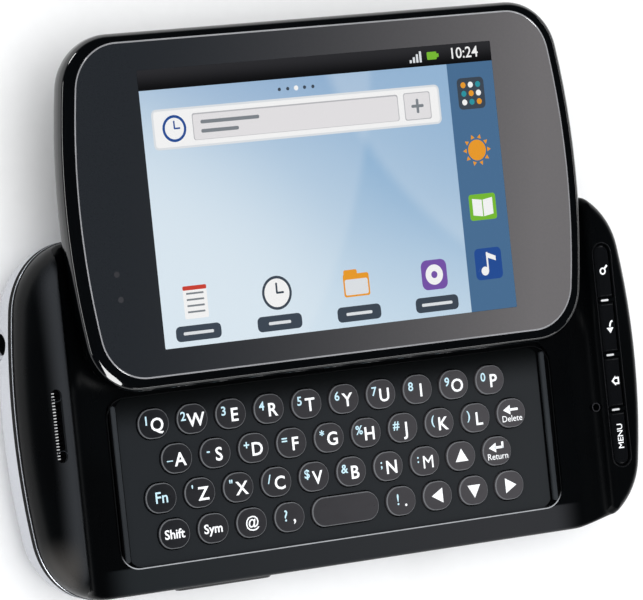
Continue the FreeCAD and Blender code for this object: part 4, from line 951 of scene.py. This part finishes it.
def lit(name, colour, top=None):
    """A colour shown by the panel; with a top colour, it turns to that one over the bar at the top."""
    finish = Finish(name)
    if top:
        colour = finish.mix(finish.ramp(finish.axes()["Y"], SCREEN_EDGE - 3.4 * MM, SCREEN_EDGE), colour, top)
    speck = finish.between(finish.noise(9000.0, 1.0), 0.0, 0.03)
    return lit_finish(finish, finish.mix(speck, colour, rgb(128, 128, 130)))


# the wallpaper's rings: centre from the screen's, radius and soft edge in mm, share, and colour
RINGS = (
    (-46.0, -34.0, 58.0, 26.0, 0.55, rgb(226, 238, 247)),
    (34.0, -70.0, 72.0, 34.0, 0.5, rgb(206, 226, 241)),
    (-10.0, 62.0, 58.0, 30.0, 0.45, rgb(60, 118, 182)),
    (66.0, 44.0, 70.0, 3.0, 0.24, rgb(232, 243, 250)),
    (-76.0, 30.0, 88.0, 2.2, 0.16, rgb(240, 247, 252)),
)


def wallpaper():
    """A soft blue ground with broad pale curves and two fine ones across it."""
    finish = Finish("picture_ground")
    x, y, _ = finish.axes()
    y = finish.minus(y, SCREEN_Y)
    slope = finish.plus(finish.times(x, 0.6), y)
    shade = finish.mix(finish.ramp(slope, -36.0 * MM, 36.0 * MM), rgb(214, 232, 244), rgb(104, 158, 204))
    for ring_x, ring_y, radius, soft, share, colour in RINGS:
        dx, dy = finish.minus(x, ring_x * MM), finish.minus(y, ring_y * MM)
        away = finish.math("SQRT", finish.plus(finish.times(dx, dx), finish.times(dy, dy)))
        inside = finish.ramp(away, radius * MM, (radius - soft) * MM)
        shade = finish.mix(finish.times(inside, share), shade, colour)
    speck = finish.between(finish.noise(1200.0, 2.0), 0.0, 0.04)
    return lit_finish(finish, finish.mix(speck, shade, (1.0, 1.0, 1.0, 1.0)))


PAINT = {paint: lit(f"picture_{paint}", rgb(*colour)) for paint, colour in {
    "mist": (232, 230, 232), "line": (186, 186, 190), "dock": (74, 112, 150), "white": (250, 250, 250),
    "pale": (226, 230, 234), "grey": (128, 134, 140), "slate": (62, 72, 84), "green": (122, 190, 52),
    "teal": (46, 150, 164), "orange": (238, 158, 44), "red": (206, 66, 52), "violet": (120, 84, 170),
}.items()}
PAINT["ground"] = wallpaper()
PAINT["deep"] = lit("picture_deep_blue", rgb(36, 78, 152))
PAINT["black"] = lit("picture_black", rgb(3, 3, 4), rgb(42, 42, 45))

# the picture is laid out in millimetres from the screen's centre
HALF_X, HALF_Y = SCREEN_LENGTH / MM / 2, SCREEN_WIDTH / MM / 2
TUCK = 0.3  # how far it runs on under the border
BAR, DOCK = 3.3, 8.6
STRIP_LOW, STRIP_HIGH = 2.2 - HALF_X, HALF_X - DOCK - 2.0
PICTURE_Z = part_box("display_module")[1].z
LAYER = 0.008 * MM
picture_parts = {}


def draw(paint, layer, outline):
    low = PICTURE_Z + layer * LAYER
    plate = slab(turned(outline, 0.0, SCREEN_Y, scale=MM), low, low + LAYER * 0.6)
    picture_parts.setdefault(paint, []).append(plate)


def boxes(*rows):
    """Boxes, each from its paint, layer, centre, length, width and, where it isn't sharp, corner radius."""
    for paint, layer, x, y, length, width, *corner in rows:
        draw(paint, layer, round_box(x, y, length, width, *(corner or (0.02,)), 4))


def discs(*rows):
    """Discs, each from its paint, layer, centre, radius and, where it isn't 20, number of sides."""
    for paint, layer, *sizes in rows:
        draw(paint, layer, disc(*sizes))


def draw_bar():
    """The bar along the upper edge: signal steps, a battery and a clock."""
    middle = HALF_Y - BAR / 2
    boxes(("ground", 0, 0.0, 0.0, (HALF_X + TUCK) * 2, (HALF_Y + TUCK) * 2),
          ("black", 1, 0.0, middle + TUCK / 2, (HALF_X + TUCK) * 2, BAR + TUCK))
    picture_parts["white"] = [text_mesh("10:24", 1.9 * MM, (HALF_X - 5.0) * MM, SCREEN_Y + middle * MM,
                                        PICTURE_Z + 2 * LAYER, thick=0.02 * MM)]
    for step in range(4):
        height = 0.5 + 0.45 * step
        boxes(("pale", 2, HALF_X - 15.5 + 0.65 * step, HALF_Y - BAR + 0.7 + height / 2, 0.42, height))
    boxes(("green", 2, HALF_X - 11.3, middle, 1.9, 1.3, 0.2), ("green", 2, HALF_X - 10.2, middle, 0.5, 0.6))


def draw_dock():
    """The column on the right with four signs: a grid of dots, a sun, an open book and a note."""
    x, tile = HALF_X - DOCK / 2, 5.3
    dots, sun, book, note = (HALF_Y - BAR - 5.2 - 9.6 * i for i in range(4))
    boxes(("dock", 1, x + TUCK / 2, -(BAR + TUCK) / 2, DOCK + TUCK, HALF_Y * 2 - BAR + TUCK),
          ("slate", 2, x, dots, tile, tile, 0.8))
    discs(*((("white", "teal", "orange")[(i + j) % 3], 3, x + 1.45 * (i - 1), dots + 1.45 * (j - 1), 0.5)
            for i in range(3) for j in range(3)))
    discs(("orange", 3, x, sun, 1.75, 28))
    for i in range(10):
        draw("orange", 3, turned([(2.75, 0.0), (2.05, 0.38), (2.05, -0.38)], x, sun, FULL_TURN * i / 10))
    boxes(("green", 2, x, book, tile, 4.4, 0.5))
    for page in ([(-2.0, -1.3), (-0.1, -1.6), (-0.1, 1.2), (-2.0, 1.5)],
                 [(0.1, -1.6), (2.0, -1.3), (2.0, 1.5), (0.1, 1.2)]):
        draw("white", 3, turned(page, x, book))
    boxes(("deep", 2, x, note, tile, tile, 0.8))
    discs(("white", 3, x - 0.8, note - 1.2, 0.75))
    boxes(("white", 3, x - 0.2, note + 0.35, 0.32, 3.2))
    draw("white", 3, turned([(-0.36, 1.1), (1.5, 0.4), (1.5, 1.2), (-0.36, 1.95)], x, note))


def draw_strip():
    """A white strip with a dial, a field with two blank lines and a plus button; five dots above it."""
    length, height, middle = STRIP_HIGH - STRIP_LOW, 6.6, (STRIP_LOW + STRIP_HIGH) / 2
    top = HALF_Y - BAR - 3.2
    y = top - height / 2
    field_low, field_high = STRIP_LOW + 7.4, STRIP_HIGH - 8.2
    field, field_length = (field_low + field_high) / 2, field_high - field_low
    dial, button = STRIP_LOW + 4.0, STRIP_HIGH - 4.5
    boxes(("pale", 2, middle, y, length, height, 0.9),
          ("white", 3, middle, y, length - 0.7, height - 0.7, 0.6),
          ("line", 4, field, y, field_length, height - 2.2, 0.4),
          ("mist", 5, field, y - 0.08, field_length - 0.3, height - 2.5, 0.35),
          ("line", 4, button, y, 5.2, height - 2.0, 0.4), ("mist", 5, button, y, 4.9, height - 2.3, 0.35),
          ("grey", 6, button, y, 2.4, 0.5, 0.2), ("grey", 6, button, y, 0.5, 2.4, 0.2),
          ("deep", 6, dial, y + 0.6, 0.28, 1.3), ("deep", 6, dial + 0.5, y, 1.1, 0.28),
          ("grey", 6, STRIP_LOW + 14.4, y + 0.7, 11.0, 0.6, 0.25),
          ("grey", 6, STRIP_LOW + 12.4, y - 0.8, 7.0, 0.6, 0.25))
    discs(("deep", 4, dial, y, 2.2, 28), ("white", 5, dial, y, 1.75, 28))
    for i in range(-2, 3):
        paint, radius = ("slate", 0.3) if i else ("white", 0.42)
        discs((paint, 3, middle + 1.6 * i, top + 1.5, radius, 14))


def draw_row():
    """The row of four signs, a list, a clock, a folder and a wheel, over blank name plates."""
    plate = 2.1 - HALF_Y
    columns = [STRIP_LOW + 4.6 + (STRIP_HIGH - STRIP_LOW - 9.2) * i / 3 for i in range(4)]
    for x, blank in zip(columns, (5.6, 4.2, 5.0, 6.0)):
        boxes(("slate", 2, x, plate, 8.4, 2.5, 0.8), ("pale", 3, x, plate, blank, 0.5, 0.2))
    page, clock, folder, wheel = columns
    y = plate + 4.9
    boxes(("white", 3, page, y, 4.4, 5.2, 0.3), *(("grey", 4, page, y + 1.5 - i, 3.2, 0.3) for i in range(4)),
          ("red", 4, page, y + 2.4, 4.4, 0.7, 0.2))
    discs(("slate", 3, clock, y, 2.8, 30), ("white", 4, clock, y, 2.35, 30))
    boxes(("slate", 5, clock, y + 0.8, 0.34, 1.7), ("slate", 5, clock + 0.6, y, 1.4, 0.34),
          ("orange", 3, folder - 1.0, y + 1.7, 2.6, 1.4, 0.3), ("orange", 3, folder, y - 0.2, 5.0, 3.8, 0.4),
          ("pale", 4, folder, y - 0.5, 4.4, 2.6, 0.3), ("violet", 3, wheel, y, 5.0, 5.0, 1.1))
    discs(("white", 4, wheel, y, 1.7, 28), ("violet", 5, wheel, y, 0.6))


def make_picture():
    draw_bar()
    draw_dock()
    draw_strip()
    draw_row()
    for paint, plates in picture_parts.items():
        piece = add_piece(f"picture_{paint}", plates, PAINT[paint], "display_half")
        piece.visible_shadow = False


# ---- Legends ----
SECONDS = dict(zip("qwertyuiopasdfghjklzxcvbnm", "1234567890_-+=*%#()'\"/$&;:"))
# the words on other keys, each with its capitals' height, place from the key's centre and boldness in mm
MAIN_WORDS = {
    "delete": ("Delete", 1.1, 0.0, -0.95, 0.006), "return": ("Return", 1.1, 0.0, -0.95, 0.006),
    "shift": ("Shift", 1.55, -0.1, -0.1, 0.04), "symbol": ("Sym", 1.55, -0.1, -0.1, 0.04),
    "at": ("@", 1.9, 0.0, 0.0, 0.02), "comma": (",", 2.2, 0.8, 0.1, 0.03),
    "period": (".", 2.2, 0.8, 0.0, 0.03),
}
SECOND_WORDS = {
    "fn": ("Fn", 1.9, 0.0, 0.0, 0.03), "comma": ("?", 1.9, -0.8, 0.2, 0.02),
    "period": ("!", 1.9, -0.7, 0.2, 0.02),
}
for key, second in SECONDS.items():
    MAIN_WORDS[key] = (key.upper(), 2.25, 0.55, -0.3, 0.0 if key == "m" else 0.05)
    SECOND_WORDS[key] = (second, 1.5, -1.75 if key == "w" else -1.4, 0.5, 0.035)
ARROW = [(0.55, 0.0), (-0.4, 0.55), (-0.4, -0.55)]
LONG_ARROW = [turned(ARROW, -0.85, 0.6, HALF_TURN, 1.5), round_box(0.35, 0.6, 1.9, 0.42, 0.05, 2)]
SIGNS = {"delete": LONG_ARROW, "return": [*LONG_ARROW, round_box(1.1, 0.95, 0.42, 1.1, 0.05, 2)]}
for key, turns in (("up", 0.5), ("left", 1.0), ("down", -0.5), ("right", 0.0)):
    SIGNS[key] = [turned(ARROW, turn=turns * HALF_TURN, scale=2.3)]


def make_legends():
    level = KEY_TOP + LETTER_DEPTH / 2
    for key in KEYS:
        x, y, _ = middle_of(f"key_{key}")
        for piece, words, signs, colour in (("legend", MAIN_WORDS, SIGNS, white_ink),
                                            ("second_legend", SECOND_WORDS, {}, cyan_ink)):
            marks = [slab(turned(sign, x, y, scale=MM), KEY_TOP, KEY_TOP + LETTER_DEPTH)
                     for sign in signs.get(key, ())]
            if key in words:
                text, height, dx, dy, thick = words[key]
                marks.append(text_mesh(text, height * MM, x + dx * MM, y + dy * MM, level, thick=thick * MM))
            if marks:
                add_piece(f"{piece}_{key}", marks, colour, f"key_{key}")


make_keycaps()
make_panel()
make_seam()
make_earpiece()
make_bay_trim()
make_window()
make_picture()
make_legends()
make_wing_icons()
make_ports()

# ---- Floor, light and background ----
STAGE_CENTRE = Vector((0.0, 0.015, 0.01))
gloss_edges = bpy.data.collections.new("gloss_edges")
for name in ("display_bezel", "window_rim", "seam_trim"):
    gloss_edges.objects.link(bpy.data.objects[name])


def make_floor():
    finish = Finish("studio_floor")
    finish.set(Base_Color=finish.mix(finish.noise(400.0, 2.0), rgb(247, 247, 247), rgb(251, 251, 251)),
               Roughness=0.7, Specular_IOR_Level=0.2)
    floor = new_object("floor", slab([(-3.0, -3.0), (3.0, -3.0), (3.0, 3.0), (-3.0, 3.0)], -0.002, 0.0))
    floor.data.materials.append(finish.material)


def make_world():
    """A pale horizon under a ceiling that is dim in reflections and even in soft light."""
    world = bpy.data.worlds.new("studio")
    bpy.context.scene.world = world
    world.use_nodes = True
    world.node_tree.nodes.clear()
    sky = Tree(world.node_tree)
    rise = sky.ramp(sky.axes("Generated")["Z"], 0.0, 0.27)
    reflected = sky.mix(rise, (0.64, 0.66, 0.68, 1.0), (0.02, 0.022, 0.026, 1.0))
    soft = sky.node("LightPath").outputs["Is Diffuse Ray"]
    shade = sky.mix(soft, reflected, (0.82, 0.83, 0.84, 1.0))
    sky.node("OutputWorld", Surface=sky.out("Background", Color=shade))


def softbox(name, direction, distance, length, width, power, fill=False):
    """A lamp that faces the phone: a fill gives soft light alone, any other one highlights on gloss edges."""
    data = bpy.data.lights.new(name, "AREA")
    data.shape = "RECTANGLE"
    data.size, data.size_y, data.energy = length, width, power
    light = new_object(name, data)
    towards = Vector(direction).normalized()
    light.location = STAGE_CENTRE + towards * distance
    light.rotation_mode = "QUATERNION"
    light.rotation_quaternion = towards.to_track_quat("Z", "Y")
    light.visible_glossy = light.visible_transmission = not fill
    light.visible_diffuse = fill
    light.visible_camera = False
    if not fill:
        light.light_linking.receiver_collection = gloss_edges


make_floor()
make_world()
softbox("overhead_fill", (-0.1, 0.08, 1.4), 1.4, 1.6, 1.6, 11.5, fill=True)
softbox("left_strip", (-0.94, 0.0, 0.33), 1.0, 0.9, 0.08, 1.2)
softbox("right_strip", (0.94, 0.0, 0.33), 1.0, 0.9, 0.06, 0.8)
softbox("front_strip", (0.5, -0.8, 0.24), 1.0, 0.7, 0.07, 0.6)
softbox("front_card", (-0.21, -0.76, 0.6), 0.9, 0.4, 0.9, 13.0)
softbox("side_fill", (-1.0, 0.25, 0.35), 1.2, 1.0, 1.0, 1.6, fill=True)
softbox("back_card", (-0.48, 0.84, 0.24), 1.0, 0.3, 0.1, 1.5)
bpy.context.scene.view_settings.view_transform = "Standard"
